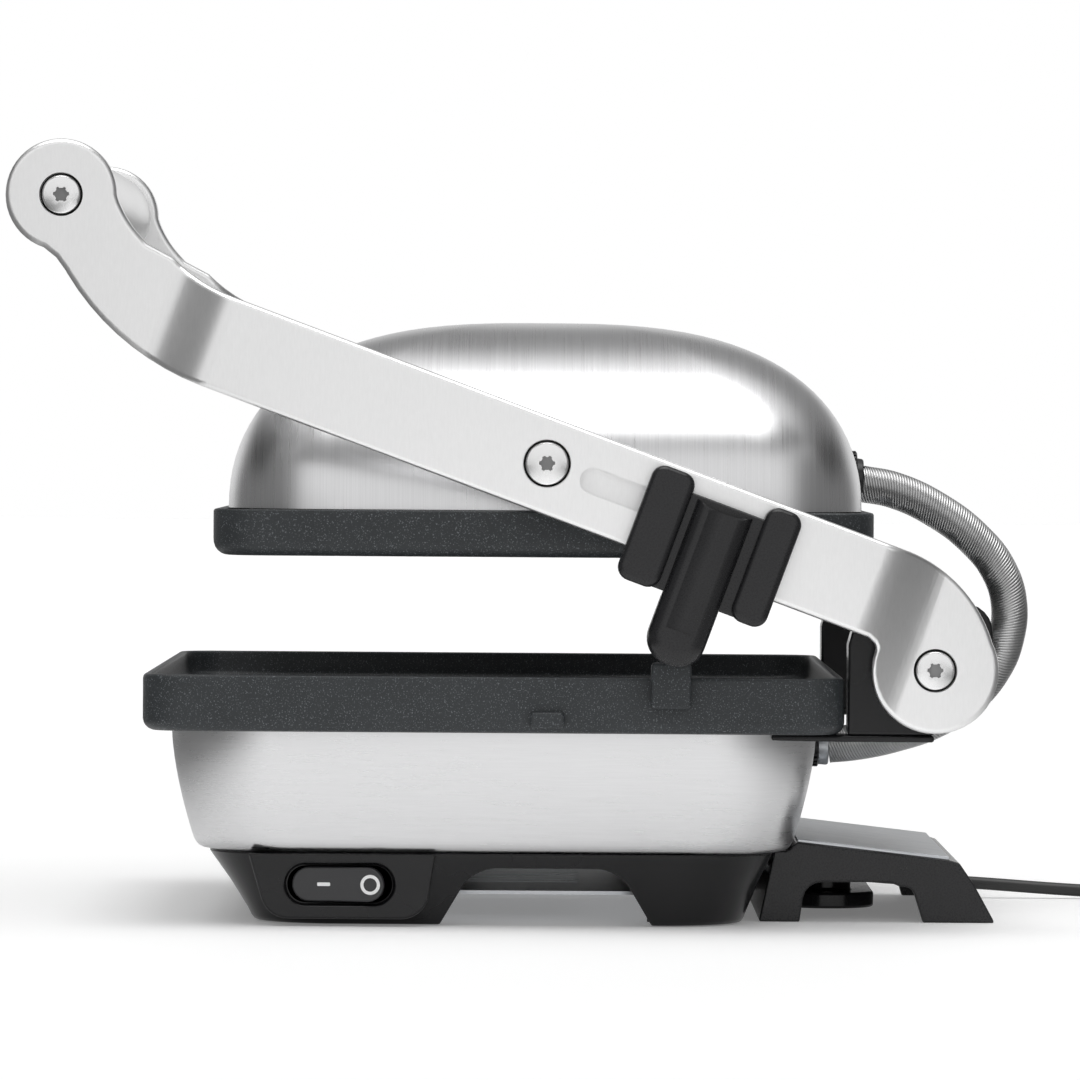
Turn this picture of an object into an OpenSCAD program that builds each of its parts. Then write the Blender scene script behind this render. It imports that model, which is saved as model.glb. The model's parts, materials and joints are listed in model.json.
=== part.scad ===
// Panini press: a fixed lower cooking plate on a base, and a floating upper plate that hangs
// from two swinging arms joined by a handle. Millimetres, +Z up, front (handle) at -Y,
// hinge at +Y, height slider and switch at +X. Shapes are drawn round the middle of the lower
// plate, and placed() then moves them so that the origin lies on the table under the middle
// of the whole press.

/* [Lower unit] */
// Width of the lower plate
plate_w = 296; // [294:1:298]
// Depth of the lower plate
plate_d = 237.4; // [236:0.2:238]
// Height of the lower plate's underside, where the steel shell ends
shell_top = 66.7; // [66:0.1:67]
// Height of the lower plate's rim
rim_z = 85.8; // [85:0.1:86]
// Height of the lower cooking surface
cook_z = 76.5; // [75:0.5:76.5]
// Width of the lower shell at its top
shell_w = 274; // [270:1:276]
// Depth of the lower shell at its top
shell_d = 220.6; // [218:0.2:221]
// Height of the black base
base_h = 25; // [24:0.5:25]
// Width of the base at its top
base_w = 254; // [252:1:256]

/* [Lid] */
// Width of the upper plate
lid_plate_w = 280; // [270:1:280]
// Depth of the upper plate
lid_plate_d = 224.2; // [220:0.2:224.2]
// Height of the upper cooking surface with the lid raised
lid_z = 125.9; // [125.5:0.1:126.5]
// Height of the upper plate's edge
lid_plate_h = 15.7; // [14:0.1:16]
// Width of the dome at its lower edge
dome_w = 272; // [264:1:274]
// Depth of the dome at its lower edge
dome_d = 217; // [210:1:218]
// Height of the dome above the upper plate
dome_h = 65.2; // [60:0.2:68]
// Thickness of the steel sheet
sheet = 1.2; // [0.8:0.1:1.5]

/* [Arms] */
// Distance of the hinge axis behind the middle
hinge_y = 148.7; // [148.7]
// Height of the hinge axis
hinge_z = 88.9; // [88.9]
// Distance of the lid's pivot behind the middle
pivot_y = 17.5; // [17.5]
// Height of the lid's pivot
pivot_z = 157.8; // [157.8]
// Distance of the handle's axis behind the middle
grip_y = -146.6; // [-146.6]
// Height of the handle's axis
grip_z = 247.2; // [247.2]
// Slope of the arms' straight part, in degrees
arm_slope = 20.15; // [20:0.05:20.3]
// Thickness of an arm
arm_t = 9; // [8:0.5:9]
// Inner face of an arm's middle part
arm_x = 153; // [152.5:0.1:153.5]
// Inward set of an arm's two ends
arm_jog = 12; // [11:0.5:12]
// Radius of the handle tube
grip_r = 16; // [15:0.5:17]

/* [Height slider] */
// Slider travel along the arm
slider_travel = 35; // [30:1:35]
// Where the slider starts, measured along the arm from the pivot
slider_s = 34; // [34:0.5:36]

/* [Lead] */
// Diameter of the mains lead
cord_d = 4.5; // [4:0.5:5]
// Sideways place of the mains lead
cord_x = -67; // [-68:1:-66]
// Diameter of the braided conduit
conduit_d = 13; // [12:0.5:13]

/* [Hidden] */
$fn = 48;
// Middle of the whole press, without its lead, from the middle of the lower plate
press_mid = [6, 11.5];
ring_steps = 6;
fit = 0.05;
hinge = [hinge_y, hinge_z];
pivot = [pivot_y, pivot_z];
grip = [grip_y, grip_z];
lid_y = 16.5;
lid_top = lid_z + lid_plate_h;
dome_y = 17;
arm_up = 15.4;
arm_low = 16.3;
arm_end_x = arm_x - arm_jog;
arm_out = arm_x + arm_t;
shaft_half = arm_end_x + arm_t - 4.2;
head_r = 6.6;
sink_r = 7.2;
shaft_r = 6;
tower_x0 = 122;
tower_x1 = 139.5;
black = [0.06, 0.06, 0.065];
coated = [0.2, 0.22, 0.23];
steel = [0.75, 0.75, 0.76];
bright = [0.85, 0.85, 0.86];
braid = [0.5, 0.5, 0.52];
zinc = [0.62, 0.63, 0.65];

// Middle line of the braided conduit, from the lid's gland round behind the shaft to the base
conduit_route = [
    [0, 129, 150.8], [0, 141, 148.5], [0, 157, 141], [0, 170, 131], [0, 178, 121], [0, 182, 109],
    [0, 181, 96], [0, 177, 86], [0, 168, 75], [0, 156, 67], [0, 142, 62], [0, 128, 59], [0, 118.2, 58]
];
// Middle line of the mains lead from its strain relief to the coil behind the press
cord_route = [
    [cord_x, 118, 8.5], [cord_x, 130, 8], [cord_x, 145, 7], [cord_x, 160, 6.2], [cord_x, 175, 5.4],
    [cord_x, 190, 4.4], [cord_x, 205, 3.4], [cord_x, 222, 2.6], [cord_x, 238, 2.3]
];
coil_r = 24;
coil_wide = 3 * cord_d;
coil_h = 2 * cord_d;
coil_at = [cord_x + coil_r + cord_d, 250];
// Middle line of the short end that leaves the coil for the plug
tail_route = [
    [-27, 278.3, 6.2], [-16, 277, 4.8], [-7, 273, 3.3], [0, 268, 3], [8, 264, 5], [16, 262.4, 7.4], [22, 262, 8]
];

// ---------- shared shapes ----------

module placed() {
    translate([-press_mid[0], -press_mid[1], 0]) children();
}

// Extrudes an outline drawn in (y, z) from x0 to x1
module side(x0, x1) {
    rotate([90, 0, 90]) translate([0, 0, x0]) linear_extrude(x1 - x0) children();
}

// Extrudes an outline drawn in (x, z) from y0 to y1
module front(y0, y1) {
    rotate([90, 0, 0]) translate([0, 0, -y1]) linear_extrude(y1 - y0) children();
}

// Extrudes an outline drawn in (x, y) from z0 to z1
module plan(z0, z1) {
    translate([0, 0, z0]) linear_extrude(z1 - z0) children();
}

module pin_x(x0, x1, r, at) {
    translate([x0, at[0], at[1]]) rotate([0, 90, 0]) cylinder(h = x1 - x0, r = r);
}

module pin_y(y0, y1, r, at) {
    translate([at[0], y0, at[1]]) rotate([-90, 0, 0]) cylinder(h = y1 - y0, r = r);
}

module pin_z(z0, z1, r, at) {
    translate([at[0], at[1], z0]) cylinder(h = z1 - z0, r = r);
}

module both_sides() {
    children();
    mirror([1, 0, 0]) children();
}

// A box given by its low and high corners
module block(low, high) {
    translate(low) cube(high - low);
}

// A rectangle with round corners, given by its low and high corners
module round_rect(low, high, r) {
    size = high - low;
    translate([low[0] + r, low[1]]) square([size[0] - 2 * r, size[1]]);
    translate([low[0], low[1] + r]) square([size[0], size[1] - 2 * r]);
    for (x = [low[0] + r, high[0] - r], y = [low[1] + r, high[1] - r]) translate([x, y]) circle(r);
}

// Outline coordinates on the arm: first along the arm to the rear, then up from its pivot
module on_arm() {
    translate(pivot) rotate(-arm_slope) children();
}

// Points of an arc, from angle a0 to a1
function arc(c, r, a0, a1, n = 8) = [for (i = [0:n]) c + r * [cos(a0 + (a1 - a0) * i / n), sin(a0 + (a1 - a0) * i / n)]];

// A level ring with round corners, at half sizes hx and hy round [0, cy]
function ring(hx, hy, r, z, cy = 0) = [
    for (k = [0:3], i = [0:ring_steps])
        let (a = 90 * (k + i / ring_steps), sx = k == 0 || k == 3 ? 1 : -1, sy = k < 2 ? 1 : -1)
        [sx * (hx - r) + r * cos(a), cy + sy * (hy - r) + r * sin(a), z]
];

// A closed solid through rings of equal length. Its first and last rings are its end faces
module skin(rings) {
    n = len(rings[0]);
    m = len(rings);
    walls = [
        for (j = [0:m - 2], i = [0:n - 1]) let (k = (i + 1) % n)
        [j * n + i, (j + 1) * n + i, (j + 1) * n + k, j * n + k]
    ];
    ends = [[for (i = [0:n - 1]) i], [for (i = [0:n - 1]) m * n - 1 - i]];
    polyhedron(points = [for (g = rings) each g], faces = concat(walls, ends), convexity = 6);
}

// A smooth curve through points, with k steps between each two
function smooth(p, k) = concat([
    for (i = [0:len(p) - 2], j = [0:k - 1])
        let (t = j / k, a = p[max(i - 1, 0)], b = p[i], c = p[i + 1], d = p[min(i + 2, len(p) - 1)])
        0.5 * (2 * b + (c - a) * t + (2 * a - 5 * b + 4 * c - d) * t ^ 2 + (3 * b - a - 3 * c + d) * t ^ 3)
], [p[len(p) - 1]]);

// A round tube along a path. across is a direction that the path never takes
module tube(path, r, sides, across) {
    last = len(path) - 1;
    skin([
        for (i = [0:last])
            let (
                run = path[min(i + 1, last)] - path[max(i - 1, 0)],
                t = run / norm(run),
                side = cross(across, t),
                u = side / norm(side),
                v = cross(t, u)
            )
            [for (k = [0:sides - 1]) path[i] + r * (cos(360 * k / sides) * u + sin(360 * k / sides) * v)]
    ]);
}

// A bolt along +X with a round head and a hexagon socket in its face
module socket_bolt(x0, x1, shank, head, at) {
    head_t = 4;
    pin_x(x0, x1 - head_t, shank, at);
    difference() {
        pin_x(x1 - head_t, x1, head, at);
        translate([x1 - 2.5, at[0], at[1]]) rotate([0, 90, 0]) cylinder(h = 3, r = 3.4, $fn = 6);
    }
}

// A round-headed screw along +Z, with its head at the bottom
module screw_up(z0, z1, at, r = 1.6, head = 3.2) {
    pin_z(z0, z0 + 1.8, head, at);
    pin_z(z0 + 1.8, z1, r, at);
}

// ---------- base ----------

base_foot_w = 238;
base_wall = 3;
base_top_d = 194;
base_foot_d = 168.5;
base_screw_at = [[60, -58], [60, 58], [-60, -58], [-60, 58]];
foot_at = [[88, -58], [88, 61], [-88, -58], [-88, 61]];
pan_z = 10;
switch_at = [-51.9, 14.3];
switch_x = 128.4;
rocker_axis_x = 123;

// One level ring of the base. f goes from 0 at the floor to 1 at its top
function base_ring(f, z, inset) = ring(
    (base_foot_w + f * (base_w - base_foot_w)) / 2 - inset,
    (base_foot_d + f * (base_top_d - base_foot_d)) / 2 - inset,
    30 - inset, z, 1.7 - 2.5 * f
);

// Arch in the base's side walls
module arch_outline() {
    arch_r = 12.8;
    arch_z = 19.9;
    polygon(concat(
        [[-18.8, -1]], arc([0.7, arch_z - arch_r], arch_r, 150, 90), arc([35, arch_z - arch_r], arch_r, 90, 30), [[55, -1]]
    ));
}

module switch_panel_outline() {
    corner_r = 9.5;
    polygon(concat(
        [[-19.4, base_h - 0.3], [-83, base_h - 0.3]],
        arc([-69.4, 12.1], corner_r, 197, 270), arc([-31, 12.1], corner_r, 270, 350)
    ));
}

// Outline with half-round ends, round the switch's middle
module switch_oval(long, high) {
    translate(switch_at) round_rect([-long / 2, -high / 2], [long / 2, high / 2], high / 2 - 0.01);
}

module base_tray() {
    roof = base_h - base_wall;
    color(black) {
        difference() {
            skin([
                base_ring(0.85, roof, base_wall), base_ring(0.05, 2, base_wall), base_ring(0, 0.8, base_wall - 1),
                base_ring(0, 0.8, 1.4), base_ring(0.05, 2.4, 0.2), base_ring(0.15, 5, 0), base_ring(0.97, base_h - 0.8, 0),
                base_ring(1, base_h, 0.8)
            ]);
            for (m = [0, 1]) mirror([m, 0, 0]) side(112, 130) arch_outline();
            side(108, 130) switch_panel_outline();
            pin_y(80, 96, 5 + fit, [cord_x, 8.5]);
            for (x = [-50, 50]) pin_y(84, 98, 2 + fit, [x, 18]);
        }
        for (at = base_screw_at) difference() {
            pin_z(pan_z + 1.2, roof, 5, at);
            pin_z(pan_z, roof - 2, 1.6 + fit, at);
        }
        for (at = foot_at) pin_z(3, roof, 9, at);
    }
}

module bottom_pan() {
    slot_w = 4;
    color(zinc) difference() {
        plan(pan_z, pan_z + 1.2) round_rect([-103, -70], [103, 70], 26);
        for (at = base_screw_at) pin_z(pan_z - 1, pan_z + 2, 1.6 + fit, at);
        for (at = foot_at) pin_z(pan_z - 1, pan_z + 2, 9.5, at);
        for (x = [-45:15:45]) plan(pan_z - 1, pan_z + 2) round_rect([x, -30], [x + slot_w, 30], slot_w / 2 - 0.01);
    }
}

module base_screws() {
    color(zinc) for (at = base_screw_at) screw_up(pan_z - 1.8, pan_z + 9, at);
}

module rubber_feet() {
    color(black) for (at = foot_at) pin_z(0, 3, 8, at);
}

// ---------- switch ----------

module switch_panel() {
    color(black) difference() {
        side(117, switch_x) switch_panel_outline();
        side(switch_x - 3.2, switch_x + 1) switch_oval(37.3, 14.2);
        side(116, switch_x) switch_oval(34, 12.4);
        pin_z(switch_at[1] - 7.4, switch_at[1] + 7.4, 1.5 + fit, [rocker_axis_x, switch_at[0]]);
        side(116, 119.6) square_at(switch_at, [34.4, 14.4]);
    }
}

module square_at(at, size) {
    translate(at) square(size, center = true);
}

module switch_body() {
    color([0.12, 0.12, 0.13]) {
        side(104, 118) square_at(switch_at, [32, 13.6]);
        translate([98, switch_at[0] - 8, switch_at[1]]) for (z = [-2.5, 1, 4.5]) block([0, 0, z - 0.4], [6, 6, z + 0.4]);
    }
}

// The rocker rests with its front end pressed in
module rocker() {
    long = 31.6;
    high = 11.8;
    rest_angle = -7;
    at = [rocker_axis_x, switch_at[0]];
    color(black) {
        translate(at) rotate(rest_angle) translate(-at) intersection() {
            side(118, 130) switch_oval(long, high);
            plan(0, base_h) translate(at) polygon([
                [-2, -6], [2.5, -long / 2], [5.4, -long / 2], [4.4, 0], [5.4, long / 2], [2.5, long / 2], [-2, 6]
            ]);
        }
        pin_z(switch_at[1] - 7.2, switch_at[1] + 7.2, 1.5, at);
    }
}

// ---------- lower unit ----------

shell_inset = 8.6;
shell_inner_floor = base_h + 1.5;
plate_corner = 12;
plate_wall = 3;
groove_pitch = 12;
gland_low_at = [0, 58];
bracket_screw_at = [[110, 103], [119, 97.5]];

// One level ring of the lower shell, which draws in towards the base
function shell_ring(z, inset) =
    let (draw = shell_inset * ((shell_top - z) / (shell_top - base_h)) ^ 1.6)
    ring(shell_w / 2 - draw - inset, shell_d / 2 - draw - inset, 36 - inset, z);

module lower_housing() {
    levels = [base_h + 4, 34, 40, 46, 52, 60, shell_top];
    inner = [shell_top, 60, 52, 46, 40, 34, base_h + 4.5];
    color(steel) difference() {
        skin(concat(
            [shell_ring(base_h, 4), shell_ring(base_h + 1.2, 1.2)],
            [for (z = levels) shell_ring(z, 0)],
            [for (z = inner) shell_ring(z, sheet)],
            [shell_ring(shell_inner_floor, 6)]
        ));
        both_sides() block([103.6, 90, shell_top - 2.7], [145, 125, shell_top + 1]);
        pin_y(100, 116, 6.5 + fit, gland_low_at);
    }
}

function plate_ring(z, inset) = ring(plate_w / 2 - inset, plate_d / 2 - inset, plate_corner - min(inset, 8) / 2, z);

// Grooves between the ribs of a cooking surface, as outlines in (x, z)
module groove_outlines(half_w, z0, z1) {
    grow = abs(z1 - z0) * 0.35;
    for (x = [-half_w + groove_pitch / 2:groove_pitch:half_w - groove_pitch / 2])
        polygon([[x - 2.6, z0], [x + 2.6, z0], [x + 2.6 + grow, z1], [x - 2.6 - grow, z1]]);
}

module lower_plate() {
    color(coated) {
        difference() {
            skin([
                plate_ring(shell_top, 3.2), plate_ring(shell_top + 2.4, 0.3), plate_ring(rim_z - 1, 0), plate_ring(rim_z, 0.9),
                plate_ring(rim_z, plate_wall - 0.5), plate_ring(rim_z - 1, plate_wall), plate_ring(cook_z + 2, plate_wall + 0.6),
                plate_ring(cook_z, plate_wall + 3)
            ]);
            front(-104, 104) groove_outlines(132, cook_z - 2.2, cook_z + 0.01);
            both_sides() for (at = bracket_screw_at) pin_z(shell_top - 1, shell_top + 5, 2 + fit, at);
        }
        // lug that carries the slider's finger, and the boss of the transport lock
        side(plate_w / 2 - 1, 154.5) round_rect([53, 75.5], [66.5, 91], 1.5);
        side(plate_w / 2 - 1, plate_w / 2 + 3) round_rect([12.3, 68.7], [24, 74.1], 1.5);
    }
}

// Tubular heater bent three times, under or over a plate
module element(z, cy) {
    leg = 33;
    tube_r = 3.2;
    for (x = [-3, -1, 1, 3]) pin_y(cy - 55, cy + (abs(x) == 3 ? 82 : 55), tube_r, [x * leg, z]);
    for (x = [-2, 2]) translate([x * leg, cy - 55, z]) rotate(180) rotate_extrude(angle = 180) translate([leg, 0]) circle(tube_r);
    translate([0, cy + 55, z]) rotate_extrude(angle = 180) translate([leg, 0]) circle(tube_r);
}

module lower_element() {
    color(zinc) element(shell_top - 3.3, 0);
}

// Shallow sheet tray that throws the heat at the plate
module reflector(z, cy, half_w, half_d, lip) {
    difference() {
        plan(z, z + lip) round_rect([-half_w, cy - half_d], [half_w, cy + half_d], 20);
        plan(z + 0.8, z + lip + 1) round_rect([-half_w + 0.8, cy - half_d + 0.8], [half_w - 0.8, cy + half_d - 0.8], 19);
    }
}

module lower_reflector() {
    color(bright) reflector(44, 0, 118, 91, 12);
}

module thermostat(z0, z1, at) {
    plan(z0, z1) translate(at) round_rect([-14, -9], [14, 9], 3);
    pin_z(z0 - 4, z0, 5, at);
}

module lower_thermostat() {
    color([0.85, 0.82, 0.74]) thermostat(53, shell_top, [0, 0]);
}

module thermal_cutout() {
    color(bright) {
        plan(shell_top - 1, shell_top) translate([66, 0]) round_rect([-6, -10], [6, 10], 3);
        pin_y(-9, 9, 3.6, [66, shell_top - 4.6]);
    }
}

module terminal_block() {
    color([0.9, 0.9, 0.86]) difference() {
        plan(shell_inner_floor, shell_inner_floor + 12) round_rect([-22, 62], [22, 76], 2);
        for (x = [-14, 0, 14]) pin_z(shell_inner_floor + 4, shell_inner_floor + 13, 2.6, [x, 69]);
    }
}

module conduit_gland_lower() {
    color(black) {
        pin_y(105, 111, 6.5, gland_low_at);
        pin_y(111, 114.6, 7.6, gland_low_at);
    }
    color(bright) pin_y(114.6, 118.2, 7, gland_low_at);
}

// ---------- rear deck and lead ----------

deck_half_w = 84;
deck_wall = 6;
deck_cover_t = 1.2;
deck_top = [[104.8, 28.7], [157.3, 22.8]];
spool_at = [0, 116.2];

module rear_deck() {
    color(black) difference() {
        side(-deck_half_w, deck_half_w) polygon([
            deck_top[0] - [0, deck_cover_t], [101.4, 24.4], [96.8, 24.4], [91.8, 1], [91.8, 0], [172.8, 0], [172.6, 1],
            [166, 13], [160.8, 20.6], deck_top[1] - [0, deck_cover_t]
        ]);
        side(deck_wall - deck_half_w, deck_half_w - deck_wall) polygon([[97.5, -1], [100, 13.8], [146, 13.8], [160, -1]]);
        side(-deck_half_w - 1, deck_half_w + 1) polygon(concat(
            [[148.4, -1], [105.6, -1]], arc([113.5, 7], 6.8, 170, 90, 4), [[136.8, 13.8], [140.2, 12.4]],
            arc([141.5, 8.4], 4, 70, 20, 3), [[148, 1]]
        ));
        front(90, 100) translate([cord_x, 8.5]) circle(5.8);
        front(130, 175) round_rect([cord_x - 5, -2], [cord_x + 5, 10.5], 2);
        for (x = [-50, 50]) pin_y(90, 99, 2 + fit, [x, 18]);
    }
}

module rear_deck_cover() {
    color(bright) side(-deck_half_w + 0.4, deck_half_w - 0.4) polygon([
        deck_top[0], deck_top[0] - [0, deck_cover_t], deck_top[1] - [0, deck_cover_t], deck_top[1]
    ]);
}

module deck_screws() {
    color(zinc) for (x = [-50, 50]) {
        pin_y(83.4, 85.4, 3.4, [x, 18]);
        pin_y(85.4, 98.6, 2, [x, 18]);
    }
}

module cord_spool() {
    color(black) {
        plan(3, 8.5) translate(spool_at) round_rect([-56.8, -16.7], [56.8, 16.7], 16.6);
        plan(8.5, 13.8) translate(spool_at) round_rect([-40, -9], [40, 9], 8.9);
    }
}

module strain_relief() {
    color(black) {
        pin_y(84, 90.5, 5, [cord_x, 8.5]);
        translate([cord_x, 90.5, 8.5]) rotate([-90, 0, 0]) cylinder(h = 27.5, r1 = 5, r2 = 3.1);
    }
}

module cord() {
    color(black) tube(smooth(cord_route, 2), cord_d / 2, 8, [0, 0, 1]);
}

module cord_coil() {
    color(black) translate([coil_at[0], coil_at[1], 0]) rotate_extrude()
        translate([coil_r - coil_wide / 2, 0]) square([coil_wide, coil_h]);
}

module cord_tail() {
    color(black) tube(smooth(tail_route, 3), cord_d / 2, 8, [0, 0, 1]);
}

// Two-pin plug lying on its side
module plug() {
    color(black) {
        block([22, 251, 0], [43, 273, 16]);
        for (y = [254.9, 267.6]) block([43, y, 4.9], [61, y + 1.5, 11.2]);
    }
}

// ---------- hinge towers ----------

module tower() {
    difference() {
        union() {
            side(tower_x0, tower_x1) polygon(concat(
                [[119.8, 66.7], [119.8, 97]], arc([134.8, 97], 14.5, 165, 90, 6), arc([158.6, 101.5], 10, 90, 0, 6),
                arc([hinge_y, hinge_z], 20, -6, -88, 8), [[149, 66.7]]
            ));
            plan(shell_top - 2.4, shell_top - 0.1) polygon([
                [104, 96], [130, 92], [134, 98], [tower_x1, 119], [tower_x1, 149], [tower_x0, 149], [tower_x0, 119], [104, 107]
            ]);
        }
        pin_x(tower_x0 - 1, tower_x1 + 1, 8.5, hinge);
        for (at = bracket_screw_at) pin_z(shell_top - 3, shell_top, 2 + fit, at);
    }
}

module hinge_bracket_right() {
    color(black) tower();
}

module hinge_bracket_left() {
    color(black) mirror([1, 0, 0]) tower();
}

module hinge_bushes() {
    color([0.7, 0.55, 0.3]) both_sides() difference() {
        pin_x(tower_x0, tower_x1 + 0.6, 8.5, hinge);
        pin_x(tower_x0 - 1, tower_x1 + 1, shaft_r + fit, hinge);
    }
}

module bracket_screws() {
    color(zinc) both_sides() for (at = bracket_screw_at) screw_up(shell_top - 4.2, shell_top + 4, at, 2, 3.6);
}

module hinge_shaft() {
    color(steel) difference() {
        pin_x(-shaft_half, shaft_half, shaft_r, hinge);
        both_sides() pin_x(120, shaft_half + 1, 3 + fit, hinge);
    }
}

module hinge_bolts() {
    color(bright) both_sides() socket_bolt(124, arm_end_x + arm_t - 0.2, 3, head_r, hinge);
}

// ---------- arms ----------

bend_at = [-118.2, 72.4];
bend_inner = bend_at[1] - arm_up;
bend_outer = bend_at[1] + arm_low;
bend_turn = 43;
head_at = [122.4, 84.7];
head_arc_r = 47.5;
slot_w = 9;
slot_end = 76;
bar_end = 123;

// Sideways set of the arm at a place along it: 0 in the middle, 1 at the ends
jog_from = 117;
jog_run = 22;
function jog_at(along) = let (c = min(max((abs(along) - jog_from) / jog_run, 0), 1)) (1 - cos(180 * c)) / 2;

// Upper edge of the neck, from the bend to the disc at the handle
neck_edge = [[-110.6, 223.6], [-117.6, 230.8], [-122.4, 236.3], [-125.6, 241.5], [-127.6, 246.3], [-128.4, 251.5]];

module arm_outline() {
    on_arm() {
        translate([bend_at[0], -arm_low]) square([bar_end - bend_at[0], arm_up + arm_low]);
        polygon(concat(
            arc(bend_at, bend_inner, -90, -115, 6), arc(bend_at, bend_outer, -90 - bend_turn, -90, 10)
        ));
    }
    translate(grip) circle(18.8);
    translate(hinge) circle(21.4);
    polygon(concat(smooth(neck_edge, 3), [grip, grip + [-5.9, -17.8], [-148.2, 226], [-138, 212]]));
    intersection() {
        translate(head_at) circle(head_arc_r);
        polygon([[125.6, 100.2], hinge + [-19.5, 8], hinge, hinge + [24, 4], [178, 125], [138.5, 134]]);
    }
}

// Both arms, right side. The slider's slot is in the right arm only
module arm(slotted) {
    steps = concat([-210], [for (i = [0:11]) -jog_from - jog_run + 2 * i], [for (i = [0:11]) jog_from + 2 * i], [190]);
    last = len(steps) - 1;
    difference() {
        intersection() {
            side(arm_end_x - 1, arm_out + 1) arm_outline();
            translate([0, pivot_y, pivot_z]) rotate([-arm_slope, 0, 0]) plan(-140, 140) polygon(concat(
                [for (i = [0:last]) [arm_x - arm_jog * jog_at(steps[i]), steps[i]]],
                [for (i = [last:-1:0]) [arm_out - arm_jog * jog_at(steps[i]), steps[i]]]
            ));
        }
        pin_x(arm_end_x - 1, arm_out, 3 + 2 * fit, grip);
        pin_x(arm_end_x + arm_t - 4.4, arm_out, sink_r, grip);
        pin_x(arm_end_x - 1, arm_out, shaft_r + fit, hinge);
        pin_x(arm_end_x + arm_t - 4.4, arm_out, sink_r, hinge);
        pin_x(arm_x - 1, arm_out + 1, 5 + 2 * fit, pivot);
        pin_x(arm_out - 4.5, arm_out + 1, 8.1, pivot);
        if (slotted) side(arm_x - 1, arm_out + 1) on_arm()
            round_rect([12, -slot_w / 2], [slot_end, slot_w / 2], slot_w / 2 - 0.01);
    }
}

module arm_right() {
    color(steel) arm(true);
}

module arm_left() {
    color(steel) mirror([1, 0, 0]) arm(false);
}

module handle_tube() {
    color(steel) difference() {
        pin_x(-arm_end_x, arm_end_x, grip_r, grip);
        pin_x(-arm_end_x - 1, arm_end_x + 1, grip_r - 2, grip);
    }
}

module handle_rod() {
    color(zinc) difference() {
        pin_x(-arm_end_x, arm_end_x, 5, grip);
        both_sides() pin_x(118, arm_end_x + 1, 3 + fit, grip);
    }
}

module handle_caps() {
    color(black) both_sides() difference() {
        pin_x(arm_end_x - 8, arm_end_x, grip_r - 2 - fit, grip);
        pin_x(arm_end_x - 9, arm_end_x + 1, 5 + fit, grip);
    }
}

module handle_bolts() {
    color(bright) both_sides() socket_bolt(120, arm_end_x + arm_t - 0.2, 3, head_r, grip);
}

module pivot_bolts() {
    color(bright) both_sides() {
        socket_bolt(119, arm_out - 0.4, 5, 7.3, pivot);
        translate([115, pivot_y, pivot_z]) rotate([0, 90, 0]) cylinder(h = 5.8, r = 8, $fn = 6);
    }
}

module pivot_washers() {
    color(black) both_sides() difference() {
        pin_x(arm_x - 0.9, arm_x, 10.5, pivot);
        pin_x(arm_x - 2, arm_x + 1, 5.3, pivot);
    }
}

// ---------- lid ----------

boss_r = 11;
gland_up_at = [0, 152.2];

// Share of the dome's half depth that is left at a height share h, from its flared foot to its crown
function dome_share(h) = (1 - h ^ 2.2) ^ (1 / 2.8);

function dome_ring(h, inset) =
    let (
        half = (dome_d / 2) * dome_share(h) - inset,
        wide = (dome_w - dome_d) / 2 + half
    )
    ring(wide, half, min(half - 0.5, 34), lid_top + 0.2 + h * dome_h - (h > 0.5 ? inset : 0), dome_y);

module upper_housing() {
    shares = [0, 0.08, 0.17, 0.27, 0.38, 0.49, 0.6, 0.7, 0.79, 0.87, 0.93, 0.97, 0.992];
    last = len(shares) - 1;
    color(steel) difference() {
        skin(concat(
            [for (i = [last:-1:0]) dome_ring(shares[i], sheet)],
            [for (h = shares) dome_ring(h, 0)]
        ));
        both_sides() pin_x(120, 140, boss_r + 0.2, pivot);
        pin_y(115, 130, 6.5 + fit, gland_up_at);
    }
}

function lid_ring(z, inset) = ring(lid_plate_w / 2 - inset, lid_plate_d / 2 - inset, 14 - min(inset, 8) / 2, z, lid_y);

module upper_plate() {
    wall = 4;
    color(coated) difference() {
        skin([
            lid_ring(lid_z, 5), lid_ring(lid_z + 0.7, 2.7), lid_ring(lid_z + 2.4, 0.8), lid_ring(lid_z + 5, 0), lid_ring(lid_top, 0),
            lid_ring(lid_top, wall), lid_ring(lid_z + 7, wall + 1)
        ]);
        front(lid_y - 100, lid_y + 100) groove_outlines(126, lid_z + 2.2, lid_z - 0.01);
        both_sides() for (y = [-4, 38]) pin_z(lid_z + 4, lid_top, 1.6 + fit, [114, y]);
    }
}

module upper_element() {
    color(zinc) element(lid_z + 7 + 3.3, lid_y);
}

module upper_reflector() {
    color(bright) difference() {
        reflector(lid_z + 14, lid_y, 106, 88, 4);
        plan(lid_z + 13, lid_z + 16) translate([0, lid_y]) round_rect([-16, -11], [16, 11], 3);
    }
}

module upper_thermostat() {
    color([0.85, 0.82, 0.74]) {
        plan(lid_z + 7, lid_z + 19) translate([0, lid_y]) round_rect([-14, -9], [14, 9], 3);
        pin_z(lid_z + 19, lid_z + 23, 5, [0, lid_y]);
    }
}

module pivot_brackets() {
    color(zinc) both_sides() difference() {
        union() {
            side(121, 124) round_rect([-8, lid_z + 7], [42, pivot_z + 14], 6);
            block([109, -8, lid_z + 7], [122, 42, lid_z + 9.5]);
            pin_x(121, arm_x - 1, boss_r, pivot);
        }
        pin_x(120, arm_x, 5 + fit, pivot);
        for (y = [-4, 38]) pin_z(lid_z, lid_top, 1.6 + fit, [114, y]);
    }
}

module upper_screws() {
    color(zinc) both_sides() for (y = [-4, 38]) {
        pin_z(lid_z + 4.2, lid_z + 9.5, 1.6, [114, y]);
        pin_z(lid_z + 9.5, lid_z + 11.3, 3.2, [114, y]);
    }
}

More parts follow.
